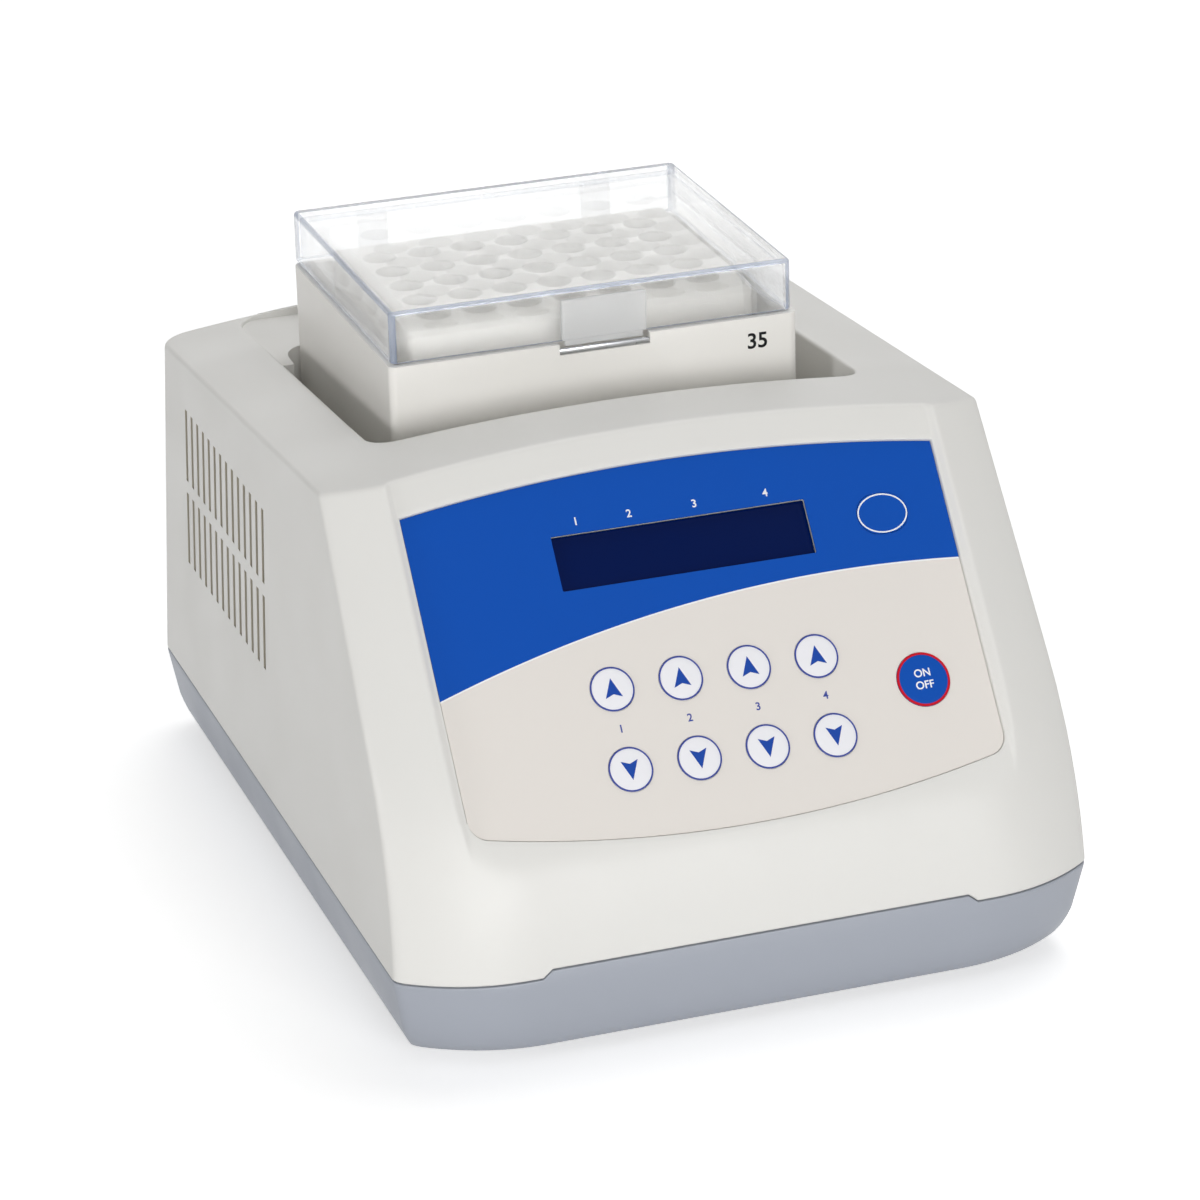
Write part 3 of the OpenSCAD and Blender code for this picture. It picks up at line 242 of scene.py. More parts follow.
def add_tint(tree, shader, colour, other, per_metre):
    """Faint change of colour over the surface."""
    patches = add_node(tree, "ShaderNodeTexNoise", Scale=per_metre, Detail=5.0)
    mix = add_node(tree, "ShaderNodeMix", data_type="RGBA")
    mix.inputs[6].default_value = colour
    mix.inputs[7].default_value = other
    tree.links.new(object_coordinates(tree), patches.inputs["Vector"])
    tree.links.new(patches.outputs["Fac"], mix.inputs["Factor"])
    tree.links.new(mix.outputs[2], shader.inputs["Base Color"])


def shade(colour, factor):
    """The colour made lighter or darker."""
    return tuple(min(1.0, c * factor) for c in colour[:3]) + (1.0,)


def moulded_plastic(name, colour, roughness=0.42, grain=0.35):
    """Injection-moulded plastic with a fine spark-eroded texture."""
    material, tree, shader = base_material(name, colour, roughness)
    add_grain(tree, shader, 2600.0, 0.00006, grain)
    add_patches(tree, shader, roughness - 0.05, roughness + 0.07, 35.0)
    add_tint(tree, shader, shade(colour, 0.985), shade(colour, 1.015), 14.0)
    return material


def printed_film(name, colour, roughness=0.33):
    """Printed polyester film with a very fine velvet texture."""
    material, tree, shader = base_material(name, colour, roughness)
    shader.inputs["Specular IOR Level"].default_value = 0.18
    add_grain(tree, shader, 5200.0, 0.00002, 0.25)
    add_patches(tree, shader, roughness - 0.04, roughness + 0.05, 60.0)
    return material


def glossy_window(name, colour):
    """Polished clear-coated sheet."""
    material, tree, shader = base_material(name, colour, 0.12)
    shader.inputs["Specular IOR Level"].default_value = 0.05
    add_patches(tree, shader, 0.10, 0.18, 80.0)
    return material


def brushed_metal(name, colour, roughness=0.32, stretch=(1.0, 30.0, 30.0)):
    """Metal with fine lines along X."""
    material, tree, shader = base_material(name, colour, roughness, metallic=1.0)
    add_grain(tree, shader, 240.0, 0.00002, 0.4, stretch)
    add_patches(tree, shader, roughness - 0.06, roughness + 0.1, 50.0)
    return material


def blasted_metal(name, colour, roughness=0.5):
    """Bead-blasted and anodised aluminium."""
    material, tree, shader = base_material(name, colour, roughness, metallic=0.15)
    shader.inputs["Specular IOR Level"].default_value = 0.25
    add_grain(tree, shader, 4200.0, 0.00003, 0.5)
    add_patches(tree, shader, roughness - 0.06, roughness + 0.08, 60.0)
    return material


def soft_rubber(name, colour, roughness=0.75):
    """Dull rubber or foam."""
    material, tree, shader = base_material(name, colour, roughness)
    add_grain(tree, shader, 1800.0, 0.00012, 0.5)
    add_patches(tree, shader, roughness - 0.1, roughness + 0.1, 90.0)
    return material


def clear_plastic(name, colour, roughness=0.015, see_through=0.62, transmission=1.0):
    """Clear moulded polycarbonate, with faint flow marks."""
    material, tree, shader = base_material(name, colour, roughness, IOR=1.5)
    shader.inputs["Transmission Weight"].default_value = transmission
    shader.inputs["Alpha"].default_value = 1.0 - see_through
    add_grain(tree, shader, 24.0, 0.0001, 0.08)
    return material


MATERIALS = {}


def make_materials(colours):
    """One finish for each material slot of the construction, and the prints on the panel."""
    MATERIALS.update({
        "shell": moulded_plastic("Warm white moulding", tuple(colours.shell) + (1.0,)),
        "base_grey": moulded_plastic("Blue grey moulding", tuple(colours.base) + (1.0,), 0.45),
        "rubber": soft_rubber("Foot rubber", (0.02, 0.02, 0.021, 1.0)),
        "screw_steel": brushed_metal("Zinc plated steel", (0.62, 0.62, 0.64, 1.0), 0.3, (8.0, 8.0, 8.0)),
        "plate_aluminium": brushed_metal("Milled aluminium", (0.72, 0.73, 0.75, 1.0)),
        "shaft_steel": brushed_metal("Ground steel", (0.55, 0.56, 0.58, 1.0), 0.2, (20.0, 20.0, 1.0)),
        "motor_black": moulded_plastic("Black motor paint", (0.03, 0.031, 0.033, 1.0), 0.35),
        "copper_winding": brushed_metal("Enamelled copper", (0.62, 0.28, 0.12, 1.0), 0.3, (1.0, 1.0, 40.0)),
        "bushing_bronze": brushed_metal("Sintered bronze", (0.62, 0.45, 0.22, 1.0), 0.45, (9.0, 9.0, 9.0)),
        "magnet": brushed_metal("Magnet iron", (0.16, 0.16, 0.17, 1.0), 0.5, (9.0, 9.0, 9.0)),
        "sink_aluminium": brushed_metal("Extruded aluminium", (0.70, 0.71, 0.73, 1.0), 0.38,
            (30.0, 1.0, 30.0)),
        "ceramic_white": moulded_plastic("Matt alumina", (0.82, 0.82, 0.79, 1.0), 0.6),
        "block_aluminium": blasted_metal("Blasted aluminium", tuple(colours.block) + (1.0,)),
        "insulation_foam": soft_rubber("Closed cell foam", (0.045, 0.045, 0.047, 1.0), 0.9),
        "housing_plastic": moulded_plastic("Housing moulding", tuple(colours.housing) + (1.0,), 0.40),
        "clear_plastic": clear_plastic("Clear polycarbonate", (0.97, 0.985, 1.0, 1.0)),
        # Painted shade: a darker tan on the case wall's cut edges, in the vent slots, along the seam and
        # round the openings
        "painted_shade_cut": moulded_plastic("Shaded cut edge", srgb(186, 179, 162), 0.6),
        # Painted shade: a blue-grey, less clear copy of the lid's plastic, put on its rounded edges where
        # refraction darkens them
        "lid_edge": clear_plastic("Polycarbonate edge", (0.30, 0.38, 0.55, 1.0), 0.08, 0.4, 0.2),
        "overlay_print": printed_film("Blue print", tuple(colours.blue_print) + (1.0,)),
        "display_blue": glossy_window("Display window", srgb(1, 22, 76)),
        "key_white": printed_film("White print", srgb(246, 246, 250)),
        "key_blue": printed_film("Key blue print", tuple(colours.blue_print) + (1.0,)),
        "board_green": glossy_window("Solder mask", (0.015, 0.12, 0.05, 1.0)),
        "black_plastic": moulded_plastic("Black moulding", (0.018, 0.018, 0.02, 1.0), 0.35),
        "cable_grey": moulded_plastic("Flat cable", (0.42, 0.42, 0.44, 1.0), 0.5),
        "panel_grey": moulded_plastic("Powder coat", (0.10, 0.105, 0.11, 1.0), 0.55, 0.9),
        "cream_print": printed_film("Cream print", tuple(colours.cream_print) + (1.0,)),
        "line_print": printed_film("Dark blue line print", srgb(66, 80, 160)),
        "arrow_print": printed_film("Blue arrow print", srgb(30, 74, 168)),
        "white_print": printed_film("Bright white print", srgb(250, 250, 252)),
        "red_print": printed_film("Red print", srgb(205, 22, 42)),
        "black_print": printed_film("Black print", srgb(26, 26, 28)),
        "frosted": clear_plastic("Frosted polycarbonate", (0.95, 0.96, 0.97, 1.0), 0.4, 0.5, 0.35),
        "faint": clear_plastic("Thin clear polycarbonate", (0.95, 0.97, 1.0, 1.0), 0.1, 0.75, 0.4),
    })


# ---------------------------------------------------------------------------
# Meshes
# ---------------------------------------------------------------------------
SMOOTH_ANGLE = 38.0
SHARP_ANGLE = 35.0
NODE_WELD = 2e-6
CURVE_WELD = 1e-7
TILE_WELD = 0.00002


def smooth_by_angle(mesh, degrees=SMOOTH_ANGLE):
    """Smooth faces, with the edges over the angle kept sharp."""
    bm = bmesh.new()
    bm.from_mesh(mesh)
    limit = math.radians(degrees)
    for face in bm.faces:
        face.smooth = True
    for edge in bm.edges:
        edge.smooth = len(edge.link_faces) == 2 and edge.calc_face_angle(0.0) < limit
    bm.to_mesh(mesh)
    bm.free()


def put_in_scene(name, mesh, *materials):
    """An object for the mesh, with the materials added to it in order."""
    piece = bpy.data.objects.new(name, mesh)
    bpy.context.scene.collection.objects.link(piece)
    for material in materials:
        mesh.materials.append(material)
    return piece


def plain_piece(name, points, faces, *materials, smooth=SMOOTH_ANGLE, indices=None):
    """A piece from points in millimetres, with the slot of each face's material in indices."""
    mesh = bpy.data.meshes.new(name)
    mesh.from_pydata([tuple(float(c) * MM for c in p) for p in points], [], faces)
    mesh.validate()
    piece = put_in_scene(name, mesh, *materials)
    if indices is not None:
        mesh.polygons.foreach_set("material_index", indices)
    smooth_by_angle(mesh, smooth)
    return piece


def finished(piece):
    """The piece with its modifiers made part of its mesh."""
    graph = bpy.context.evaluated_depsgraph_get()
    mesh = bpy.data.meshes.new_from_object(piece.evaluated_get(graph))
    piece.modifiers.clear()
    old = piece.data
    piece.data = mesh
    mesh.name = piece.name
    if old.users == 0 and isinstance(old, bpy.types.Mesh):
        bpy.data.meshes.remove(old)
    smooth_by_angle(mesh)
    return piece


def thicken(piece, thickness, rim):
    """Gives a skin its wall, inwards from the side that shows; rim is the material slot of its cut edges,
    which carry painted shade.
    """
    wall = piece.modifiers.new("Wall", "SOLIDIFY")
    wall.thickness = thickness * MM
    wall.offset = -1.0
    wall.material_offset_rim = rim
    wall.use_even_offset = False
    return finished(piece)


def round_edges(piece, width, segments):
    """Rounds the edges that are sharper than the limit angle."""
    edges = piece.modifiers.new("Soft edges", "BEVEL")
    edges.width = width * MM
    edges.segments = segments
    edges.limit_method = "ANGLE"
    edges.angle_limit = math.radians(SHARP_ANGLE)
    edges.harden_normals = False
    edges.use_clamp_overlap = True
    return finished(piece)


def joined(name, pieces):
    """One piece from several, with their materials kept."""
    bm = bmesh.new()
    materials = []
    for piece in pieces:
        order = []
        for material in piece.data.materials:
            if material not in materials:
                materials.append(material)
            order.append(materials.index(material))
        before = len(bm.faces)
        bm.from_mesh(piece.data)
        bm.faces.ensure_lookup_table()
        for face in bm.faces[before:]:
            face.material_index = order[face.material_index] if order else 0
    mesh = bpy.data.meshes.new(name)
    bm.to_mesh(mesh)
    bm.free()
    for piece in pieces:
        bpy.data.objects.remove(piece)
    return put_in_scene(name, mesh, *materials)


def softened(node, name, width, segments=2):
    """A copy of a construction node with its sharp edges rounded."""
    bm = bmesh.new()
    bm.from_mesh(NODES[node].data)
    bmesh.ops.remove_doubles(bm, verts=bm.verts, dist=NODE_WELD)
    bmesh.ops.dissolve_limit(bm, angle_limit=math.radians(0.5), verts=bm.verts, edges=bm.edges)
    mesh = bpy.data.meshes.new(name)
    bm.to_mesh(mesh)
    bm.free()
    piece = put_in_scene(name, mesh)
    mesh.materials.clear()
    mesh.materials.append(MATERIALS[SLOT_OF[node]])
    return round_edges(piece, width, segments)


def settle(piece, *nodes):
    """The piece stands for these nodes and moves with their body."""
    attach(piece, BODY_OF[nodes[0]])
    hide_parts(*nodes)


# ---------------------------------------------------------------------------
# Case surface
# ---------------------------------------------------------------------------
def side_x(z):
    """Half the width of the case at height z."""
    return HALF_W - (z - SEAM_Z) * SIDE_DRAFT


def back_y(z):
    """Back of the case at height z."""
    return HALF_D - (z - SEAM_Z) * BACK_DRAFT


def deck_z(x, y):
    """Height of the deck, which falls to the back and is crowned across."""
    return DECK_Z - (y - DECK_Y) * DECK_SLOPE - CROWN_R + math.sqrt(CROWN_R ** 2 - x * x)


BEND_START_V = 98.4


def rail_offset(v):
    """Height of the rail surface over the panel face, v down the face from the deck edge."""
    if v <= BEND_START_V:
        return RAIL_H
    run = min(v - BEND_START_V, BEND_R * math.sin(FOOT_TILT - FACE_TILT))
    over = (v - BEND_START_V) - run
    height = RAIL_H - BEND_R + math.sqrt(BEND_R ** 2 - run ** 2)
    return height - over * math.tan(FOOT_TILT - FACE_TILT)


def on_face(x, v, out):
    """Point of the panel's frame in the object's frame."""
    return np.array([x, 0.0, 0.0]) + DECK_EDGE - v * FACE_UP + out * FACE_OUT


def corner_fall(x, z):
    """How far the front falls back towards its corner."""
    run = max(0.0, (abs(x) - (side_x(z) - CORNER_RUN)) / CORNER_RUN)
    return CORNER_DROP * run ** CORNER_POWER


RAMP_ROUND = 0.5
RAMP_SINK = 0.05
RAMP_CLEAR = 4.0
CREST_ROUND = 1.1
FRONT_FIXED = 92.0
FRONT_END = 3.0


def front_x(nominal, z):
    """Side position of a front column, which spreads with the case outside the rails."""
    size = abs(nominal)
    if size <= FRONT_FIXED:
        return nominal
    span = HALF_W - FRONT_END - FRONT_FIXED
    moved = FRONT_FIXED + (size - FRONT_FIXED) / span * (side_x(z) - FRONT_END - FRONT_FIXED)
    return math.copysign(moved, nominal)


def smooth_least(a, b, k):
    """The lesser of two heights, with the change from one to the other rounded over k."""
    blend = max(k - abs(a - b), 0.0) / k
    return min(a, b) - blend * blend * k / 4.0


def front_point(nominal, v, sunk=None, drop=0.0):
    """Point of the front, v down the panel face; sunk is a pocket floor's height, drop a fall at its edge.

    The corner's fall moves the point down and back, and its height follows, so the place is found in turns.
    """
    point = on_face(nominal, v, rail_offset(v))
    for _ in range(3):
        x = front_x(nominal, point[2])
        fall = corner_fall(x, point[2])
        along = v + fall * FACE_UP[1]
        rail = on_face(x, along, rail_offset(along))
        rail[1] += fall
        point = rail
    height = (point - DECK_EDGE) @ FACE_OUT
    beside = abs(x) - FACE_HALF_W
    ramp = max(0.0, 0.5 * (beside + math.sqrt(beside * beside + RAMP_ROUND ** 2)) - RAMP_SINK)
    wanted = height if ramp > RAIL_H + RAMP_CLEAR else smooth_least(height, ramp, CREST_ROUND)
    wanted = min(height, wanted) - drop if sunk is None else sunk
    return point + (wanted - height) * FACE_OUT


def solve(value, low, high):
    """Where a falling function crosses zero."""
    for _ in range(40):
        middle = 0.5 * (low + high)
        if value(middle) > 0.0:
            low = middle
        else:
            high = middle
    return 0.5 * (low + high)


def seam_height(x):
    """Top of the base at a place on the front, with its raised middle."""
    run = (SEAM_STEP_WIDE - abs(x)) / (SEAM_STEP_WIDE - SEAM_STEP_NARROW)
    return SEAM_Z + SEAM_STEP_H * min(1.0, max(0.0, run))


def pocket_top(x):
    """Upper edge of the panel's pocket, down the panel at x."""
    return OVERLAY_TOP + OVERLAY_TOP_R - math.sqrt(OVERLAY_TOP_R ** 2 - x * x)


def pocket_bottom(x, half_w=OVERLAY_HALF_W):
    """Lower edge of the panel's pocket, with its round corners, down the panel at x."""
    v = OVERLAY_BOTTOM - OVERLAY_BOTTOM_R + math.sqrt(OVERLAY_BOTTOM_R ** 2 - x * x)
    inside = abs(x) - (half_w - OVERLAY_CORNER_R)
    if inside > 0.0:
        inside = min(inside, OVERLAY_CORNER_R)
        v -= OVERLAY_CORNER_R - math.sqrt(OVERLAY_CORNER_R ** 2 - inside * inside)
    return v


# Columns of the front from its middle to the corner, closer together at the pocket's edge and the rail
FRONT_COLUMNS = [0, 7, 14, 21, 28, 35, 42, 49, 56, 62, 66.5, 69.5, 73, 76.5, 79.5, 81, 82.3, 83.4, 84.3, 85,
    85.4, 85.6, 85.68, 85.85, 86.15, 86.6, 87.1, 87.6, 88.1, 88.6, 89.1, 89.6, 90.1, 90.6, 91.2, 92, 93.5,
    95.5, 98, 100.5, 103, 105.5, HALF_W - FRONT_END]
POCKET_SIDE_DROPS = {85.68: 0.7, 85.85: 0.12}
POCKET_OPEN_X = 84.3
CORNER_STEPS = 7
CORNER_BACK = 1.8
BACK_CORNER_STEPS = 8
SIDE_FRONT_STEPS = 11
SIDE_BACK_STEPS = 4
BACK_COLUMNS = [90.0, 80.0, 66.0, 50.0, 34.0, 17.0, 0.0]
LOW_STEPS = 26
POCKET_STEPS = 8
BAND_STEPS = 6
LIP_ROWS = [(0.6, 0.0), (0.25, 0.12), (0.05, 0.7)]
EDGE_STEPS = 6
DECK_STEPS = 9
EDGE_ROUND = 1.5
EDGE_ROUND_SHARE = 0.42
SEAM_TUCK = 0.5
SEAM_LIP = 0.4
PIT_ROUND = 1.5
PIT_ROUND_SHARE = 0.35
PIT_RIM_STEPS = 4
PIT_FOOT_ROUND = 2.0
PIT_FOOT_SHARE = 0.4
PIT_FLOOR_STEPS = 3
FACE_RANGE = (60.0, 175.0)
FRONT_TOP_RANGE = (-12.0, 20.0)
WALL_TOP_RANGE = (120.0, 172.0)


def mirrored(rows):
    """Points of a column on the other side of the case."""
    return [p * np.array([-1.0, 1.0, 1.0]) for p in rows]


def arc_point(centre_x, centre_y, radius, degrees):
    angle = math.radians(degrees)
    return np.array([centre_x + radius * math.cos(angle), centre_y + radius * math.sin(angle)])


def bezier(a, corner, b, share):
    """Point of a round corner between a and b."""
    return (1 - share) ** 2 * a + 2 * share * (1 - share) * corner + share ** 2 * b


def spaced(low, high, count):
    """Values from low to high, both ends included, in count steps."""
    return [low + (high - low) * i / count for i in range(count + 1)]


def front_middle_y(z):
    """Front of the case at its middle, at height z."""
    v = solve(lambda v: on_face(0.0, v, rail_offset(v))[2] - z, 0.0, FACE_RANGE[1])
    return on_face(0.0, v, rail_offset(v))[1]


def wall_point(column, z):
    """Place of a column outside the front stretch, at height z."""
    kind, share = column
    half_w = side_x(z)
    back = back_y(z)
    front = front_middle_y(z)
    corner_y = front + CORNER_DROP
    side_front = corner_y + CORNER_BACK
    if kind == "corner":
        x = half_w - FRONT_END
        run = 1.0 - FRONT_END / CORNER_RUN
        start = np.array([x, front + CORNER_DROP * run ** CORNER_POWER])
        return bezier(start, np.array([half_w, corner_y]), np.array([half_w, side_front]), share)
    if kind == "side_front":
        return np.array([half_w, side_front + share * (VENT_EDGES[0] - side_front)])
    if kind == "vent":
        return np.array([half_w, share])
    if kind == "side_back":
        return np.array([half_w, VENT_EDGES[-1] + share * (back - BACK_CORNER_R - VENT_EDGES[-1])])
    if kind == "back_corner":
        return arc_point(half_w - BACK_CORNER_R, back - BACK_CORNER_R, BACK_CORNER_R, 90.0 * share)
    return np.array([share, back])


def vent_edges():
    """Front and back edge of each vent slot, in turn."""
    pitch = VENT_RUN / (VENT_SLOTS - 1)
    return [VENT_FRONT + i * pitch + side * VENT_SLOT_W / 2 for i in range(VENT_SLOTS) for side in (-1, 1)]


VENT_EDGES = vent_edges()
TRAY_STEP = 0.05
TRAY_SNAP = 4.0
TRAY_SIDE_X = 78.0
TRAY_DROP = 1.0


def case_columns():
    """Columns of the right half behind the front stretch, each with its places on the pit and the hole."""
    pit_side = PIT_HALF_W
    pit_turn = PIT_HALF_W - PIT_CORNER_R
    hole_turn = HOLE_HALF_W - PIT_CORNER_R
    columns = []
    for share in spaced(0.0, 1.0, CORNER_STEPS)[1:-1]:
        turn = -90.0 + 90.0 * share
        columns.append((("corner", share),
            arc_point(pit_turn, PIT_FRONT + PIT_CORNER_R, PIT_CORNER_R, turn),
            arc_point(hole_turn, HOLE_FRONT + PIT_CORNER_R, PIT_CORNER_R, turn)))
    side = [("side_front", s) for s in spaced(0.0, 1.0, SIDE_FRONT_STEPS)[:-1]]
    side += [("vent", y) for y in VENT_EDGES]
    side += [("side_back", s) for s in spaced(0.0, 1.0, SIDE_BACK_STEPS)[1:]]
    pit_start = PIT_FRONT + PIT_CORNER_R
    pit_end = PIT_BACK - PIT_CORNER_R
    hole_start = HOLE_FRONT + PIT_CORNER_R
    hole_end = HOLE_BACK - PIT_CORNER_R
    for kind, share in side:
        if kind == "side_front":
            y = pit_start + share * (VENT_EDGES[0] - pit_start)
        elif kind == "vent":
            y = share
        else:
            y = VENT_EDGES[-1] + share * (pit_end - VENT_EDGES[-1])
        tray_start = TRAY_FRONT + TRAY_STEP
        if kind == "vent" and abs(y - TRAY_FRONT) < TRAY_SNAP:
            y = TRAY_FRONT if y < TRAY_FRONT else tray_start
        if y <= TRAY_FRONT:
            hole_y = hole_start + (y - pit_start) / (TRAY_FRONT - pit_start) * (TRAY_FRONT - hole_start)
        else:
            along = (y - tray_start) / (pit_end - TRAY_FRONT)
            hole_y = tray_start + along * (hole_end - TRAY_FRONT)
        columns.append(((kind, share), np.array([pit_side, y]), np.array([HOLE_HALF_W, hole_y])))
    for share in spaced(0.0, 1.0, BACK_CORNER_STEPS)[1:]:
        columns.append((("back_corner", share),
            arc_point(pit_turn, PIT_BACK - PIT_CORNER_R, PIT_CORNER_R, 90.0 * share),
            arc_point(hole_turn, HOLE_BACK - PIT_CORNER_R, PIT_CORNER_R, 90.0 * share)))
    for x in BACK_COLUMNS:
        shrink = x / (HALF_W - BACK_CORNER_R)
        columns.append((("back", x), np.array([pit_turn * shrink, PIT_BACK]),
            np.array([hole_turn * shrink, HOLE_BACK])))
    return columns


def tray_z(y):
    """Floor under a place in the pit: the deep tub in front, the lid's tray behind."""
    if y <= TRAY_FRONT:
        return PIT_FLOOR
    rise = deck_z(TRAY_SIDE_X, PIT_BACK) - TRAY_DROP - TRAY_FLOOR
    return TRAY_FLOOR + (y - TRAY_FRONT + PIT_CORNER_R) / (PIT_BACK - TRAY_FRONT + PIT_CORNER_R) * rise


def deck_and_pit(wall_end, top, inward, edge, pit, hole):
    """Rows from the deck's soft edge inwards, down the pit's wall and over its floor to the hole."""
    rows = []
    on_deck = top[:2] + inward * edge
    deck_end = np.array([on_deck[0], on_deck[1], deck_z(*on_deck)])
    for share in spaced(0.0, 1.0, EDGE_STEPS)[1:]:
        rows.append(bezier(wall_end, top, deck_end, share))
    reach = np.linalg.norm(pit - on_deck)
    pit_round = min(PIT_ROUND, PIT_ROUND_SHARE * reach)
    outwards = (on_deck - pit) / reach
    pit_edge = pit + outwards * pit_round
    for share in spaced(0.0, 1.0, DECK_STEPS)[1:]:
        place = on_deck + share * (pit_edge - on_deck)
        rows.append(np.array([place[0], place[1], deck_z(*place)]))
    rim = np.array([pit[0], pit[1], deck_z(*pit)])
    floor = tray_z(pit[1])
    below = np.array([pit[0], pit[1], max(rim[2] - pit_round, floor + 0.5)])
    rim_start = rows[-1]
    for share in spaced(0.0, 1.0, PIT_RIM_STEPS)[1:]:
        rows.append(bezier(rim_start, rim, below, share))
    foot_round = min(PIT_FOOT_ROUND, PIT_FOOT_SHARE * (below[2] - floor))
    step_in = (hole - pit) / np.linalg.norm(hole - pit)
    foot = np.array([pit[0], pit[1], floor + foot_round])
    floor_start = np.array([*(pit + step_in * foot_round), floor])
    rows.append(0.5 * (below + foot))
    for share in spaced(0.0, 1.0, PIT_FLOOR_STEPS):
        rows.append(bezier(foot, np.array([pit[0], pit[1], floor]), floor_start, share))
    for share in spaced(0.0, 1.0, PIT_FLOOR_STEPS)[1:]:
        place = floor_start[:2] + share * (hole - floor_start[:2])
        rows.append(np.array([place[0], place[1], tray_z(place[1]) if pit[1] > TRAY_FRONT else PIT_FLOOR]))
    rows.append(np.array([hole[0], hole[1], 0.5 * (rows[-1][2] + HOLE_BOTTOM)]))
    rows.append(np.array([hole[0], hole[1], HOLE_BOTTOM]))
    return rows


def front_rows(x):
    """Points of one front column, from the seam over the panel to the hole in the pit."""
    seam = seam_height(x) + SEAM_GAP
    v_seam = solve(lambda v: front_point(x, v)[2] - seam, *FACE_RANGE)
    def over_deck(v):
        point = front_point(x, v)
        return point[2] - deck_z(point[0], point[1])
    v_top = solve(over_deck, *FRONT_TOP_RANGE)
    top = front_point(x, v_top)
    inner = min(x, OVERLAY_HALF_W)
    low, high = pocket_bottom(inner), pocket_top(inner)
    in_pocket = x <= OVERLAY_HALF_W
    drop_beside = POCKET_SIDE_DROPS.get(x, 0.0)
    rows = [front_point(x, v_seam) + np.array([0.0, SEAM_TUCK, 0.0])]
    for v in spaced(v_seam - SEAM_LIP, low + LIP_ROWS[0][0], LOW_STEPS):
        rows.append(front_point(x, v))
    for run, drop in LIP_ROWS[1:]:
        rows.append(front_point(x, low + run, drop=drop if in_pocket else min(drop, drop_beside)))
    for v in spaced(low, high, POCKET_STEPS):
        sunk = -POCKET_H if in_pocket else None
        rows.append(front_point(x, v, sunk=sunk, drop=drop_beside))
    for run, drop in reversed(LIP_ROWS):
        rows.append(front_point(x, high - run, drop=drop if in_pocket else min(drop, drop_beside)))
    for v in spaced(high - LIP_ROWS[0][0], v_top + EDGE_ROUND, BAND_STEPS)[1:]:
        rows.append(front_point(x, v))
    wall_rows = len(rows)
    pit = np.array([x * (PIT_HALF_W - PIT_CORNER_R) / (HALF_W - FRONT_END), PIT_FRONT])
    hole = np.array([x * (HOLE_HALF_W - PIT_CORNER_R) / (HALF_W - FRONT_END), HOLE_FRONT])
    rows += deck_and_pit(rows[-1], top, np.array([0.0, 1.0]), EDGE_ROUND, pit, hole)
    return rows, wall_rows


def level_heights(top, count):
    """Heights of count rows on the sides and back, with rows at the edges of the vents and the opening."""
    stops = [SEAM_Z + SEAM_GAP + SEAM_LIP, BACK_OPENING[1], VENT_ROWS[0][0], VENT_ROWS[0][1],
        VENT_ROWS[1][0], BACK_OPENING[2], VENT_ROWS[1][1], top]
    steps = [1, 8, 5, 1, 4, 1]
    steps.append(count - 1 - sum(steps))
    heights = [stops[0]]
    for low, high, number in zip(stops, stops[1:], steps):
        heights += spaced(low, high, number)[1:]
    return heights


def inward_of(column):
    """Level direction from the wall into the case."""
    kind, share = column
    if kind in ("corner", "back_corner"):
        turn = math.pi / 2 * (share - 1.0 if kind == "corner" else share)
        return np.array([-math.cos(turn), -math.sin(turn)])
    return np.array([0.0, -1.0]) if kind == "back" else np.array([-1.0, 0.0])


def wall_rows_of(column, pit, hole, front_shares):
    """Points of one column of the corners, sides and back."""
    top_z = solve(lambda z: deck_z(*wall_point(column, z)) - z, *WALL_TOP_RANGE)
    place = wall_point(column, top_z)
    top = np.array([place[0], place[1], top_z])
    inward = inward_of(column)
    edge = min(EDGE_ROUND, EDGE_ROUND_SHARE * np.linalg.norm(pit - place))
    seam = SEAM_Z + SEAM_GAP
    lip = seam + SEAM_LIP
    like_front = [lip + s * (top_z - edge - lip) for s in front_shares]
    levels = level_heights(top_z - edge, len(front_shares))
    kind, share = column
    blend = {"corner": 0.0, "side_front": share}.get(kind, 1.0)
    heights = [(1 - blend) * a + blend * b for a, b in zip(like_front, levels)]
    start = wall_point(column, seam) + SEAM_TUCK * inward
    rows = [np.array([start[0], start[1], seam])]
    for z in heights:
        place = wall_point(column, z)
        rows.append(np.array([place[0], place[1], z]))
    rows += deck_and_pit(rows[-1], top, inward, edge, pit, hole)
    return rows


def shell_grid():
    """Columns of points right round the case, with marks for the vents, the opening and the pocket."""
    right = []
    marks = []
    for x in FRONT_COLUMNS:
        rows, wall_rows = front_rows(float(x))
        right.append(rows)
        marks.append(("front", x))
    heights = [p[2] for p in right[-1][1:wall_rows]]
    shares = [(h - heights[0]) / (heights[-1] - heights[0]) for h in heights]
    for column, pit, hole in case_columns():
        right.append(wall_rows_of(column, pit, hole, shares))
        marks.append(column)
    columns = right + [mirrored(c) for c in reversed(right[1:-1])]
    marks = marks + list(reversed(marks[1:-1]))
    return columns, marks, wall_rows


def is_open(mark, next_mark, z_low, z_high):
    """Whether a quad of the wall lies in a vent slot or the back opening."""
    kinds = {mark[0], next_mark[0]}
    middle = 0.5 * (z_low + z_high)
    if kinds == {"vent"}:
        a, b = sorted((mark[1], next_mark[1]))
        slot = VENT_EDGES.index(a) % 2 == 0 and VENT_EDGES.index(b) - VENT_EDGES.index(a) == 1
        return slot and any(low < middle < high for low, high in VENT_ROWS)
    if kinds == {"back"}:
        inside = max(mark[1], next_mark[1]) <= BACK_OPENING[0]
        return inside and BACK_OPENING[1] < middle < BACK_OPENING[2]
    return False


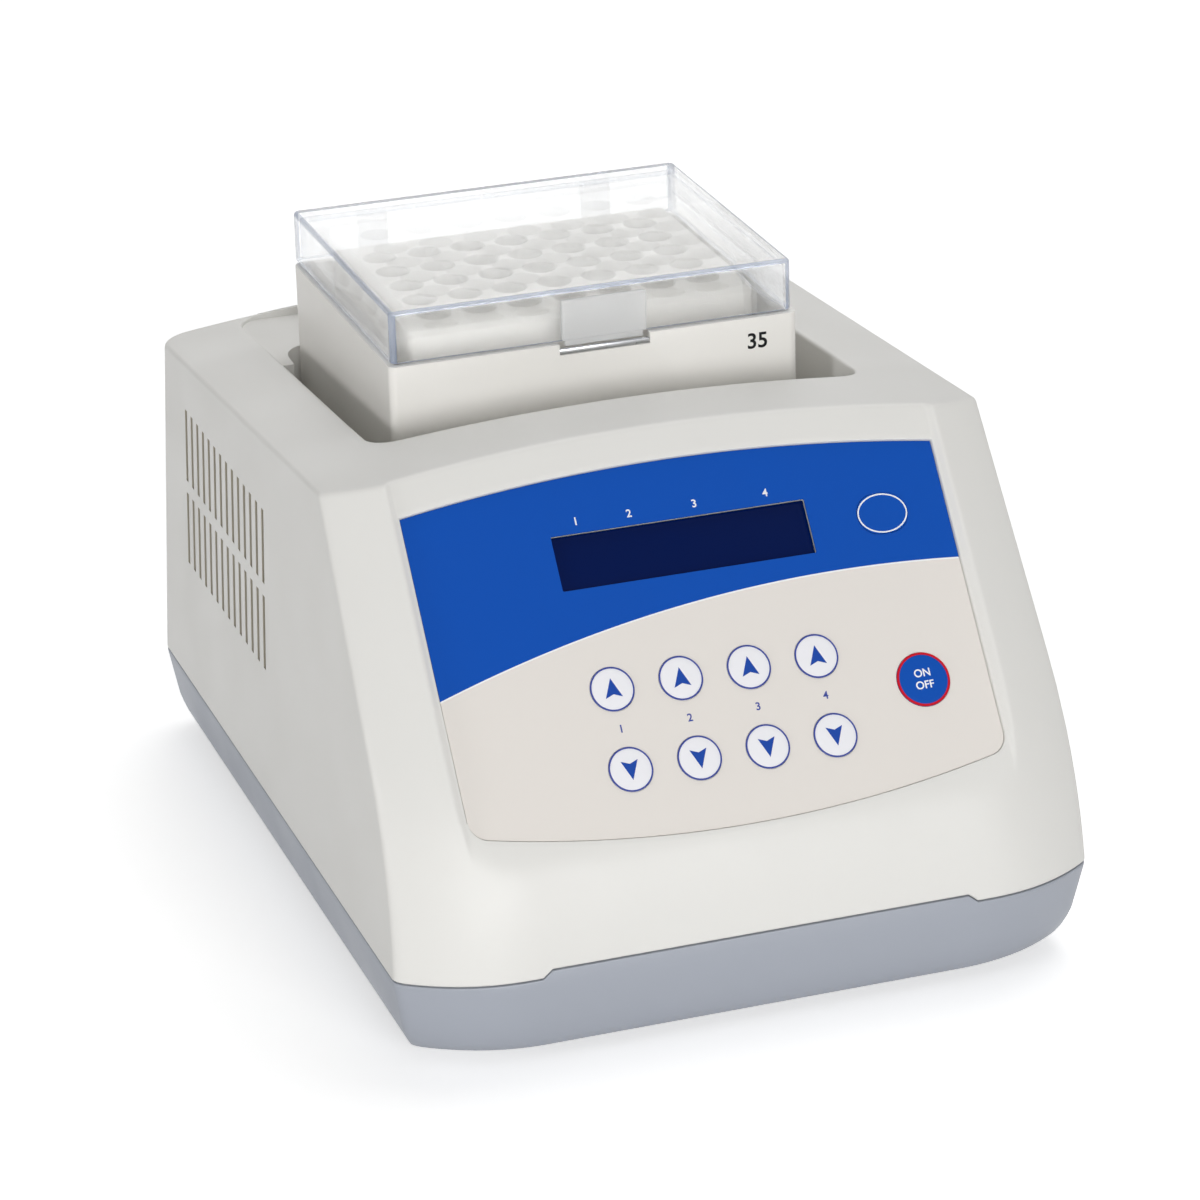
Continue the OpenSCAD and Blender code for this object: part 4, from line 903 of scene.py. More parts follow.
def make_top_shell(sizes):
    """Upper case from the grid's quads, with its openings left out, and the seat behind the panel's film."""
    columns, marks, wall_rows = shell_grid()
    count = len(columns)
    height = len(columns[0])
    pocket_first = 2 + LOW_STEPS + len(LIP_ROWS) - 1
    bm = bmesh.new()
    grid = [[bm.verts.new(tuple(p * MM)) for p in column] for column in columns]
    for i in range(count):
        j = (i + 1) % count
        for r in range(height - 1):
            on_wall = r < wall_rows - 1
            if on_wall and is_open(marks[i], marks[j], columns[i][r][2], columns[i][r + 1][2]):
                continue
            front = marks[i][0] == "front" and marks[j][0] == "front"
            if front and max(marks[i][1], marks[j][1]) <= POCKET_OPEN_X:
                if pocket_first < r < pocket_first + POCKET_STEPS - 1:
                    continue
            bm.faces.new((grid[i][r], grid[j][r], grid[j][r + 1], grid[i][r + 1]))
    opening = [e for e in bm.edges if e.is_boundary and all(in_back_opening(v.co) for v in e.verts)]
    deeper = bmesh.ops.extrude_edge_only(bm, edges=opening)
    for part in deeper["geom"]:
        if isinstance(part, bmesh.types.BMVert):
            part.co.y = (BACK_PANEL_Y - BACK_FRAME_RUN) * MM
    bmesh.ops.remove_doubles(bm, verts=bm.verts, dist=1e-6)
    mesh = bpy.data.meshes.new("top shell")
    bm.to_mesh(mesh)
    bm.free()
    # The second material paints shade on the wall's cut edges, in the vent slots and along the seam
    skin = put_in_scene("shell skin", mesh, MATERIALS["shell"], MATERIALS["painted_shade_cut"])
    thicken(skin, sizes.wall, rim=1)
    shell = joined("top_case_shell", [skin, panel_seat()])
    smooth_by_angle(shell.data)
    settle(shell, "top_shell", "splash_tub")


def in_back_opening(co, near=0.5):
    """Whether a place on the back lies in the opening or on its edge."""
    x, y, z = co / MM
    half_w, low, high = BACK_OPENING
    return y > BACK_OPENING_FROM and abs(x) < half_w + near and low - near < z < high + near


# ---------------------------------------------------------------------------
# Flat prints and plates on the panel
# ---------------------------------------------------------------------------
def panel_place():
    """From the panel's frame in millimetres, x right, y up the slope, z out, to the object's in metres."""
    columns = [(1.0, 0.0, 0.0), tuple(FACE_UP), tuple(FACE_OUT), tuple(DECK_EDGE)]
    place = Matrix.Identity(4)
    for column, values in enumerate(columns):
        for row in range(3):
            place[row][column] = values[row] * MM
    return place


def mesh_of(holder):
    """Plain mesh of a curve or text, and the holder is removed."""
    graph = bpy.context.evaluated_depsgraph_get()
    mesh = bpy.data.meshes.new_from_object(holder.evaluated_get(graph))
    data = holder.data
    bpy.data.objects.remove(holder)
    bpy.data.curves.remove(data)
    return mesh


def flat_plate(name, outlines, top, thickness, material):
    """A plate with holes: the first outline is its edge, and its upper face stands at top."""
    curve = bpy.data.curves.new(name, "CURVE")
    curve.dimensions = "2D"
    curve.fill_mode = "BOTH"
    curve.extrude = thickness / 2
    for outline in outlines:
        line = curve.splines.new("POLY")
        line.points.add(len(outline) - 1)
        for point, (x, y) in zip(line.points, outline):
            point.co = (x, y, 0.0, 1.0)
        line.use_cyclic_u = True
    holder = bpy.data.objects.new(name, curve)
    bpy.context.scene.collection.objects.link(holder)
    mesh = mesh_of(holder)
    mesh.transform(panel_place() @ Matrix.Translation((0.0, 0.0, top - thickness / 2)))
    return closed_piece(name, mesh, material)


def closed_piece(name, mesh, material):
    """A piece from a curve's mesh, with its faces joined edge to edge."""
    mesh.materials.clear()
    weld(mesh, CURVE_WELD)
    smooth_by_angle(mesh)
    return put_in_scene(name, mesh, material)


def weld(mesh, distance):
    """Joins the points that lie within the distance of each other, in metres."""
    bm = bmesh.new()
    bm.from_mesh(mesh)
    bmesh.ops.remove_doubles(bm, verts=bm.verts, dist=distance)
    bm.to_mesh(mesh)
    bm.free()


STROKE = 0.018
PRINT_LIFT = 0.02
PRINT_T = 0.03


def printed_text(words, x, v, size, material, place=None, top=OVERLAY_FACE + PRINT_LIFT, thickness=PRINT_T):
    """A plain mark, in the panel's frame or another place."""
    data = bpy.data.curves.new("mark " + words, "FONT")
    data.body = words
    data.size = size
    data.extrude = thickness / 2
    data.offset = size * STROKE
    data.align_x = "CENTER"
    data.align_y = "CENTER"
    holder = bpy.data.objects.new("mark " + words, data)
    bpy.context.scene.collection.objects.link(holder)
    mesh = mesh_of(holder)
    mesh.transform((place or panel_place()) @ Matrix.Translation((x, -v, top - thickness / 2)))
    mesh.materials.clear()
    return put_in_scene("mark " + words, mesh, material)


def ellipse(x, v, half_w, half_h, count=64):
    """Outline about the place v down the panel at x."""
    turns = [2 * math.pi * i / count for i in range(count)]
    return [(x + half_w * math.cos(turn), -v + half_h * math.sin(turn)) for turn in turns]


def circle(x, v, r, count=72):
    """Round outline about the place v down the panel at x."""
    return ellipse(x, v, r, r, count)


def pill(x, v, w, h, count=24):
    """Outline with straight sides and half-round ends."""
    points = []
    for side in (1, -1):
        for i in range(count + 1):
            turn = math.pi * (i / count - side / 2)
            points.append((x + side * (w - h) / 2 + h / 2 * math.cos(turn), -v + h / 2 * math.sin(turn)))
    return points


def rounded_rectangle(x, y, w, d, r, count=8):
    """Outline of a rectangle with round corners, counter-clockwise."""
    points = []
    for turn, (sx, sy) in enumerate([(1, -1), (1, 1), (-1, 1), (-1, -1)]):
        corner_x, corner_y = x + sx * (w / 2 - r), y + sy * (d / 2 - r)
        for i in range(count + 1):
            angle = math.pi / 2 * (turn - 1 + i / count)
            points.append((corner_x + r * math.cos(angle), corner_y + r * math.sin(angle)))
    return points


def print_split(x):
    """Line between the panel's two fields, down the panel at x."""
    return PRINT_SPLIT_V + PRINT_SPLIT_BEND * (x - PRINT_SPLIT_X) ** 2


def across(half_w, count=48, corner_count=8):
    """Places across the panel, closer together at its rounded corners."""
    straight = half_w - OVERLAY_CORNER_R
    corner = [straight + OVERLAY_CORNER_R * math.sin(math.pi / 2 * i / corner_count)
        for i in range(1, corner_count + 1)]
    return [-x for x in reversed(corner)] + spaced(-straight, straight, count) + corner


def band_between(upper, lower, half_w):
    """Outline between two lines across the panel, each given as its distance down the panel at x."""
    xs = across(half_w)
    return [(x, -upper(x)) for x in reversed(xs)] + [(x, -lower(x)) for x in xs]


def arrow_places():
    """Place of each arrow key, and whether its arrow points up or down."""
    return [(x, KEY_UP_V, 1) for x in KEY_XS] + [(x, KEY_DOWN_V, -1) for x in KEY_XS]


SEAT_INSET = 0.6
SEAT_CLEARANCE = 0.3
SEAT_T = 2.4
FILM_INSET = 0.15
KEY_GAP = 0.12
WINDOW_CORNER_R = 0.5
DISPLAY_MARK_XS = [-32.0, -15.0, 6.0, 29.0]
DISPLAY_MARK_V = 26.5
KEY_MARK_V = 92.0


def display_cut():
    """Outline of the display window in the panel."""
    return rounded_rectangle(0.0, -DISPLAY_V, DISPLAY_W, DISPLAY_H, WINDOW_CORNER_R)


def panel_seat():
    """The pocket's floor behind the printed film, with its cut-outs."""
    half_w = OVERLAY_HALF_W - SEAT_INSET
    edge = band_between(lambda x: pocket_top(x) + SEAT_INSET,
        lambda x: pocket_bottom(x, half_w) - SEAT_INSET, half_w)
    holes = [circle(x, v, KEY_R + SEAT_CLEARANCE) for x, v, _ in arrow_places()]
    holes.append(circle(SIDE_KEY_X, START_V, START_R + SEAT_CLEARANCE))
    holes.append(pill(SIDE_KEY_X, MIX_V, MIX_W + 2 * SEAT_CLEARANCE, MIX_H + 2 * SEAT_CLEARANCE))
    holes.append(display_cut())
    return flat_plate("pocket floor", [edge] + holes, -POCKET_H - PRINT_LIFT, SEAT_T, MATERIALS["shell"])


def make_overlay(sizes):
    """Printed film of the control panel, with its two fields, the line between them and its marks."""
    half_w = OVERLAY_HALF_W - FILM_INSET
    line = sizes.split_line_w / 2
    blue = band_between(lambda x: pocket_top(x) + FILM_INSET, lambda x: print_split(x) - line, half_w)
    white = band_between(lambda x: print_split(x) - line, lambda x: print_split(x) + line, half_w)
    cream = band_between(lambda x: print_split(x) + line,
        lambda x: pocket_bottom(x, half_w) - FILM_INSET, half_w)
    mix = pill(SIDE_KEY_X, MIX_V, MIX_W + 2 * FILM_INSET, MIX_H + 2 * FILM_INSET)
    keys = [circle(x, v, KEY_R + KEY_GAP) for x, v, _ in arrow_places()]
    start = circle(SIDE_KEY_X, START_V, START_R + KEY_GAP)
    fields = [("blue field", [blue, display_cut(), mix], "overlay_print"),
        ("dividing line", [white], "white_print"), ("cream field", [cream, start] + keys, "cream_print")]
    parts = [flat_plate(name, outlines, OVERLAY_FACE, OVERLAY_T, MATERIALS[finish])
        for name, outlines, finish in fields]
    for places, v, finish in ((DISPLAY_MARK_XS, DISPLAY_MARK_V, "white_print"),
            (KEY_XS, KEY_MARK_V, "line_print")):
        for number, x in enumerate(places, 1):
            parts.append(printed_text(str(number), x, v, sizes.mark_height, MATERIALS[finish]))
    settle(joined("panel_film", parts), "panel_overlay")


def lathe(name, profile, x, v, material, place=None, count=72):
    """A turned piece from (radius, height) pairs, from the axis at the top to the axis underneath."""
    points = []
    for r, out in profile[1:-1]:
        points += [(px, py, out) for px, py in circle(x, v, r, count)]
    top = len(points)
    points += [(x, -v, profile[0][1]), (x, -v, profile[-1][1])]
    faces = []
    for ring in range(len(profile) - 3):
        for i in range(count):
            j = (i + 1) % count
            a, b = ring * count, (ring + 1) * count
            faces.append((a + j, a + i, b + i, b + j))
    last = (len(profile) - 3) * count
    for i in range(count):
        j = (i + 1) % count
        faces.append((i, j, top))
        faces.append((last + j, last + i, top + 1))
    mesh = bpy.data.meshes.new(name)
    mesh.from_pydata(points, [], faces)
    mesh.transform(place or panel_place())
    piece = put_in_scene(name, mesh, material)
    smooth_by_angle(mesh)
    return piece


RING_INSET = 0.04
RING_T = 0.35
START_RING = 1.6
MARK_T = 0.12
START_WORD_V = 1.9


def key_cap(name, x, v, r, material):
    """A slightly crowned round key on its stem."""
    crown = KEY_TOP + KEY_CROWN
    profile = [(0.0, crown), (r * 0.4, crown - 0.03), (r * 0.75, crown - 0.10), (r * 0.92, crown - 0.2),
        (r - 0.12, KEY_TOP - 0.12), (r, KEY_TOP - 0.35), (r, KEY_FLOOR), (STEM_R, KEY_FLOOR),
        (STEM_R, STEM_END), (0.0, STEM_END)]
    return lathe(name, profile, x, v, material)


def key_ring(x, v, r, line, finish):
    """Printed ring near the edge of a round key."""
    edge = r - RING_INSET
    top = KEY_TOP + KEY_CROWN + PRINT_LIFT - MARK_T
    return flat_plate("ring", [circle(x, v, edge), circle(x, v, edge - line)], top, RING_T, MATERIALS[finish])


def dart(x, v, way, size):
    """Arrowhead with a notched base, pointing up or down the panel."""
    points = [(0.0, 1.05), (0.84, -0.85), (0.0, -0.52), (-0.84, -0.85)]
    outline = [(x + px * size, -v + way * py * size) for px, py in points]
    return outline if way > 0 else list(reversed(outline))


def make_keys(sizes):
    """The ten membrane keys, each with its printed mark."""
    film = KEY_TOP + KEY_CROWN + PRINT_LIFT
    line = sizes.key_line_w
    for number, (x, v, way) in enumerate(arrow_places()):
        row = "up" if way > 0 else "down"
        node = "key_%s_%d" % (row, number % len(KEY_XS) + 1)
        cap = key_cap(node + "_cap", x, v, KEY_R, MATERIALS["key_white"])
        ring = key_ring(x, v, KEY_R, line, "line_print")
        head = flat_plate("dart", [dart(x, v, way, sizes.arrow_size)], film, MARK_T, MATERIALS["arrow_print"])
        settle(joined(node + "_cap", [cap, ring, head]), node)

    cap = key_cap("start cap", SIDE_KEY_X, START_V, START_R, MATERIALS["key_blue"])
    ring = key_ring(SIDE_KEY_X, START_V, START_R, START_RING * line, "red_print")
    words = [printed_text(word, SIDE_KEY_X, START_V + down, sizes.word_height, MATERIALS["white_print"],
        top=film + PRINT_LIFT, thickness=MARK_T)
        for word, down in (("ON", -START_WORD_V), ("OFF", START_WORD_V))]
    settle(joined("start_key", [cap, ring] + words), "key_start")

    cap = flat_plate("short mix cap", [pill(SIDE_KEY_X, MIX_V, MIX_W, MIX_H)], KEY_TOP, KEY_TOP - KEY_FLOOR,
        MATERIALS["key_blue"])
    half_w, half_h = MIX_W / 2 - 2 * RING_INSET, MIX_H / 2 - 2 * RING_INSET
    outlines = [ellipse(SIDE_KEY_X, MIX_V, half_w - inset, half_h - inset) for inset in (0.0, line)]
    ring = flat_plate("ring", outlines, KEY_TOP + PRINT_LIFT, 0.1, MATERIALS["white_print"])
    stem_top = KEY_FLOOR + 0.2
    stem = lathe("stem", [(0.0, stem_top), (STEM_R, stem_top), (STEM_R, STEM_END), (0.0, STEM_END)],
        SIDE_KEY_X, MIX_V, MATERIALS["key_blue"])
    settle(joined("short_mix_key", [cap, ring, stem]), "key_short_mix")


# ---------------------------------------------------------------------------
# Base
# ---------------------------------------------------------------------------
BASE_FRONT = [0.0, 15.0, 30.0, 45.0, 58.0, 66.5, 69.5, 72.5, 77.0, 82.0, 87.0, 92.0, 97.0, 102.0, 106.0,
    HALF_W - FRONT_END]
# Height, inset and share of the seam's raised middle of each ring, from the underside over the seam inside
BASE_RINGS = [(4.0, 8.0, 0.0), (4.15, 7.2, 0.0), (4.8, 6.3, 0.0), (7.0, 5.1, 0.0), (10.0, 3.9, 0.0),
    (13.0, 2.95, 0.0), (20.0, 1.68, 0.0), (27.0, 0.44, 0.0), (28.9, 0.12, 1.0), (29.3, 0.3, 1.0),
    (29.5, 0.7, 1.0), (29.5, 3.4, 1.0), (29.5, 3.8, 0.0), (31.4, 3.95, 0.0), (31.4, 5.3, 0.0),
    (25.5, 5.4, 0.0), (25.3, 3.2, 0.0), (13.0, 6.0, 0.0), (7.2, 8.2, 0.0), (7.0, 10.0, 0.0)]
BASE_SIDE_STEPS = 8
BASE_BACK_STEPS = 6
HOLE_DEPTH = 2.2
HOLE_CLEARANCE = 0.3


def base_ring(z, inset, raised):
    """Outline of the base at a height, with the share of the seam's raised middle that it has."""
    half_w = HALF_W - inset
    front = -HALF_D + inset
    right = []
    for place in BASE_FRONT:
        x = place
        if place > SEAM_STEP_WIDE:
            x += (place - SEAM_STEP_WIDE) / (BASE_FRONT[-1] - SEAM_STEP_WIDE) * -inset
        run = max(0.0, (x - (half_w - CORNER_RUN)) / CORNER_RUN)
        lift = (seam_height(place) - SEAM_Z) * raised
        lean = lift / math.tan(FOOT_TILT)
        right.append((x, front + CORNER_DROP * run ** CORNER_POWER + lean, z + lift))
    start = np.array(right[-1][:2])
    corner = np.array([half_w, front + CORNER_DROP])
    end = corner + np.array([0.0, CORNER_BACK])
    for share in spaced(0.0, 1.0, CORNER_STEPS)[1:]:
        right.append((*bezier(start, corner, end, share), z))
    turn = BACK_CORNER_R - inset / 2
    back = HALF_D - inset
    for y in spaced(end[1], back - turn, BASE_SIDE_STEPS)[1:]:
        right.append((half_w, y, z))
    for share in spaced(0.0, 90.0, BACK_CORNER_STEPS)[1:]:
        right.append((*arc_point(half_w - turn, back - turn, turn, share), z))
    for x in spaced(half_w - turn, 0.0, BASE_BACK_STEPS)[1:]:
        right.append((x, back, z))
    return right + [(-x, y, z) for x, y, z in reversed(right[1:-1])]


def make_base():
    """Lower tray of the case, with its raised middle at the front and the holes in its underside."""
    rings = [base_ring(*ring) for ring in BASE_RINGS]
    count = len(rings[0])
    points = [p for ring in rings for p in ring]
    faces = []
    for k in range(len(rings) - 1):
        a, b = k * count, (k + 1) * count
        for i in range(count):
            j = (i + 1) % count
            faces.append((a + i, a + j, b + j, b + i))
    faces.append(tuple(reversed(range(count))))
    faces.append(tuple(range((len(rings) - 1) * count, len(rings) * count)))
    base = plain_piece("base_moulding", points, faces, MATERIALS["base_grey"])
    cut_holes(base, loose_boxes("case_screws") + loose_boxes("rubber_feet"))
    settle(base, "base_tray")


def loose_boxes(node):
    """Boxes of the separate solids of a node, in millimetres."""
    bm = bmesh.new()
    bm.from_mesh(NODES[node].data)
    bmesh.ops.remove_doubles(bm, verts=bm.verts, dist=NODE_WELD)
    left = set(bm.verts)
    boxes = []
    while left:
        stack = [left.pop()]
        part = []
        while stack:
            vert = stack.pop()
            part.append(vert.co / MM)
            for edge in vert.link_edges:
                other = edge.other_vert(vert)
                if other in left:
                    left.remove(other)
                    stack.append(other)
        boxes.append((np.min(part, axis=0), np.max(part, axis=0)))
    bm.free()
    return sorted(boxes, key=lambda b: tuple(b[0]))


def carved(piece, cutter):
    """The piece without what the cutter fills, and the cutter is removed."""
    cut = piece.modifiers.new("Cut", "BOOLEAN")
    cut.operation = "DIFFERENCE"
    cut.solver = "MANIFOLD"
    cut.object = cutter
    finished(piece)
    bpy.data.objects.remove(cutter)
    return piece


def cut_holes(piece, boxes):
    """Round holes under the screws and the feet, up into the base."""
    start = FOOT_H / 2
    bm = bmesh.new()
    for low, high in boxes:
        centre = (low + high) / 2
        r = (high[0] - low[0]) / 2 + HOLE_CLEARANCE
        top = min(high[2], FOOT_H + HOLE_DEPTH)
        place = Matrix.Translation(Vector((centre[0], centre[1], (top + start) / 2)) * MM)
        bmesh.ops.create_cone(bm, cap_ends=True, segments=40, radius1=r * MM, radius2=r * MM,
            depth=(top - start) * MM, matrix=place)
    mesh = bpy.data.meshes.new("holes")
    bm.to_mesh(mesh)
    bm.free()
    carved(piece, put_in_scene("holes", mesh))


# ---------------------------------------------------------------------------
# Things that repeat
# ---------------------------------------------------------------------------
def new_tree(name, inputs):
    """A geometry tree with the named inputs, a mesh going in and a mesh coming out."""
    tree = bpy.data.node_groups.new(name, "GeometryNodeTree")
    tree.interface.new_socket("Geometry", in_out="INPUT", socket_type="NodeSocketGeometry")
    for label, kind in inputs:
        tree.interface.new_socket(label, in_out="INPUT", socket_type=kind)
    tree.interface.new_socket("Geometry", in_out="OUTPUT", socket_type="NodeSocketGeometry")
    source = tree.nodes.new("NodeGroupInput")
    result = tree.nodes.new("NodeGroupOutput")
    return tree, source, result


def repeated_tree():
    """One piece at each point of a mesh, made real and given its material."""
    tree, source, result = new_tree("Piece at each point",
        [("Piece", "NodeSocketObject"), ("Material", "NodeSocketMaterial")])
    info = add_node(tree, "GeometryNodeObjectInfo")
    spread = add_node(tree, "GeometryNodeInstanceOnPoints")
    real = add_node(tree, "GeometryNodeRealizeInstances")
    paint = add_node(tree, "GeometryNodeSetMaterial")
    tree.links.new(source.outputs["Geometry"], spread.inputs["Points"])
    tree.links.new(source.outputs["Piece"], info.inputs["Object"])
    tree.links.new(info.outputs["Geometry"], spread.inputs["Instance"])
    tree.links.new(spread.outputs["Instances"], real.inputs["Geometry"])
    tree.links.new(real.outputs["Geometry"], paint.inputs["Geometry"])
    tree.links.new(source.outputs["Material"], paint.inputs["Material"])
    tree.links.new(paint.outputs["Geometry"], result.inputs["Geometry"])
    return tree


def grid_tree():
    """One piece on each place of a grid, joined edge to edge."""
    tree, source, result = new_tree("Grid of wells", [("Piece", "NodeSocketObject"),
        ("Material", "NodeSocketMaterial"), ("Columns", "NodeSocketInt"), ("Rows", "NodeSocketInt"),
        ("Pitch", "NodeSocketFloat")])
    grid = add_node(tree, "GeometryNodeMeshGrid")
    info = add_node(tree, "GeometryNodeObjectInfo")
    spread = add_node(tree, "GeometryNodeInstanceOnPoints")
    real = add_node(tree, "GeometryNodeRealizeInstances")
    joint = add_node(tree, "GeometryNodeMergeByDistance")
    paint = add_node(tree, "GeometryNodeSetMaterial")
    joint.inputs["Distance"].default_value = TILE_WELD
    for count, size, label in (("Vertices X", "Size X", "Columns"), ("Vertices Y", "Size Y", "Rows")):
        less = add_node(tree, "ShaderNodeMath", operation="SUBTRACT")
        less.inputs[1].default_value = 1.0
        times = add_node(tree, "ShaderNodeMath", operation="MULTIPLY")
        tree.links.new(source.outputs[label], grid.inputs[count])
        tree.links.new(source.outputs[label], less.inputs[0])
        tree.links.new(less.outputs[0], times.inputs[0])
        tree.links.new(source.outputs["Pitch"], times.inputs[1])
        tree.links.new(times.outputs[0], grid.inputs[size])
    tree.links.new(grid.outputs["Mesh"], spread.inputs["Points"])
    tree.links.new(source.outputs["Piece"], info.inputs["Object"])
    tree.links.new(info.outputs["Geometry"], spread.inputs["Instance"])
    tree.links.new(spread.outputs["Instances"], real.inputs["Geometry"])
    tree.links.new(real.outputs["Geometry"], joint.inputs["Geometry"])
    tree.links.new(joint.outputs["Geometry"], paint.inputs["Geometry"])
    tree.links.new(source.outputs["Material"], paint.inputs["Material"])
    tree.links.new(paint.outputs["Geometry"], result.inputs["Geometry"])
    return tree


TILE_SIDES = 48
WELL_BOTTOM = 0.7
WELL_BOTTOM_ANGLES = (20, 40, 60, 78)
BLOCK_EDGE = 0.8
BLOCK_CORNER_R = 2.0


def grown(name, points, tree, values):
    """The mesh that a tree makes of some points, with the tree's inputs set by name in values."""
    mesh = bpy.data.meshes.new(name)
    mesh.from_pydata([tuple(p) for p in points], [], [])
    piece = put_in_scene(name, mesh)
    nodes = piece.modifiers.new("Geometry", "NODES")
    nodes.node_group = tree
    for item in tree.interface.items_tree:
        if item.in_out == "INPUT" and item.name in values:
            nodes[item.identifier] = values[item.name]
    return finished(piece)


def well_tile(rim):
    """A square of the block's top with one round-bottomed well in it, about its own middle."""
    count = TILE_SIDES
    rings = [(WELL_R + rim, 0.0), (WELL_R + 0.35 * rim, -0.25 * rim), (WELL_R, -rim),
        (WELL_R, -WELL_DEPTH + WELL_R * WELL_BOTTOM)]
    for angle in map(math.radians, WELL_BOTTOM_ANGLES):
        rings.append((WELL_R * math.cos(angle), -WELL_DEPTH + WELL_R * WELL_BOTTOM * (1 - math.sin(angle))))
    points = []
    for radius, z in rings:
        points += [(x, y, z) for x, y in circle(0.0, 0.0, radius, count)]
    bottom = len(points)
    points.append((0.0, 0.0, -WELL_DEPTH))
    edge = len(points)
    for x, y in circle(0.0, 0.0, 1.0, count):
        reach = WELL_PITCH / 2 / max(abs(x), abs(y))
        points.append((reach * x, reach * y, 0.0))
    faces = []
    for i in range(count):
        j = (i + 1) % count
        faces.append((edge + i, edge + j, j, i))
        for k in range(len(rings) - 1):
            a, b = k * count, (k + 1) * count
            faces.append((a + i, a + j, b + j, b + i))
        last = (len(rings) - 1) * count
        faces.append((last + i, last + j, bottom))
    mesh = bpy.data.meshes.new("well tile")
    mesh.from_pydata([tuple(c * MM for c in p) for p in points], [], faces)
    return put_in_scene("well tile", mesh)


def block_ring(centre, size, inset, z, r):
    """Outline of the block at a height."""
    outline = rounded_rectangle(centre[0], centre[1], size[0] - 2 * inset, size[1] - 2 * inset, r, 4)
    return [(x, y, z) for x, y in outline]


def make_tube_block(sizes):
    """The aluminium block with its wells."""
    low, high = node_box("tube_block")
    centre, size = (low + high) / 2, high - low
    tile = well_tile(sizes.well_rim)
    wells = grown("wells", [], grid_tree(), {"Piece": tile, "Material": MATERIALS["block_aluminium"],
        "Columns": WELL_COLUMNS, "Rows": WELL_ROWS, "Pitch": WELL_PITCH * MM})
    bpy.data.objects.remove(tile)
    wells.data.transform(Matrix.Translation(Vector((centre[0], centre[1], high[2])) * MM))
    edge, r = BLOCK_EDGE, BLOCK_CORNER_R
    rings = [block_ring(centre, size, inset, z, corner) for inset, z, corner in [
        (edge, low[2], r - edge), (0.0, low[2] + edge, r), (0.0, high[2] - edge, r),
        (edge * 0.3, high[2] - edge * 0.3, r - 0.3), (edge, high[2], r - edge)]]
    count = len(rings[0])
    points = [p for ring in rings for p in ring]
    faces = [tuple(reversed(range(count)))]
    for k in range(len(rings) - 1):
        a, b = k * count, (k + 1) * count
        faces += [(a + i, a + (i + 1) % count, b + (i + 1) % count, b + i) for i in range(count)]
    field_w, field_d = WELL_COLUMNS * WELL_PITCH, WELL_ROWS * WELL_PITCH
    field = rounded_rectangle(centre[0], centre[1], field_w, field_d, 0.001, 1)
    start = len(points)
    points += [(x, y, high[2]) for x, y in field[::2]]
    last = (len(rings) - 1) * count
    quarter = count // 4
    for side in range(4):
        middle = side * quarter + quarter // 2
        span = [last + (middle + i) % count for i in range(quarter + 1)]
        faces.append(tuple(span + [start + (side + 1) % 4, start + side]))
    body = plain_piece("block body", points, faces, MATERIALS["block_aluminium"], smooth=25.0)
    settle(joined("aluminium_tube_block", [body, wells]), "tube_block")


# ---------------------------------------------------------------------------
# Lid and housing
# ---------------------------------------------------------------------------
def rounded_box(name, low, high, r, material):
    """A block with rounded edges, from its corners in millimetres."""
    bm = bmesh.new()
    bmesh.ops.create_cube(bm, size=1.0)
    low, high = np.array(low), np.array(high)
    for vert in bm.verts:
        vert.co = Vector(((np.array(vert.co) + 0.5) * (high - low) + low) * MM)
    mesh = bpy.data.meshes.new(name)
    bm.to_mesh(mesh)
    bm.free()
    return round_edges(put_in_scene(name, mesh, material), r, 3)


LID_CORNER_R = 2.0
LID_CORNER_STEPS = 8
LID_INNER_CORNER_R = 0.6
LID_WALL = 1.8
LID_LIP = 0.4
LID_INNER_LIP = 0.3
LID_EDGE_STEPS = 5
LID_INNER_EDGE = 1.2
LID_GAP = 0.3
LID_SETBACK = 2.0
SMOOTH_LID = 50.0


def lid_ring(centre, size, inset, z):
    """Outline of the lid at a height."""
    r = max(LID_INNER_CORNER_R, LID_CORNER_R - inset)
    outline = rounded_rectangle(centre[0], centre[1], size[0] - 2 * inset, size[1] - 2 * inset, r,
        LID_CORNER_STEPS)
    return [(x, y, z) for x, y in outline]


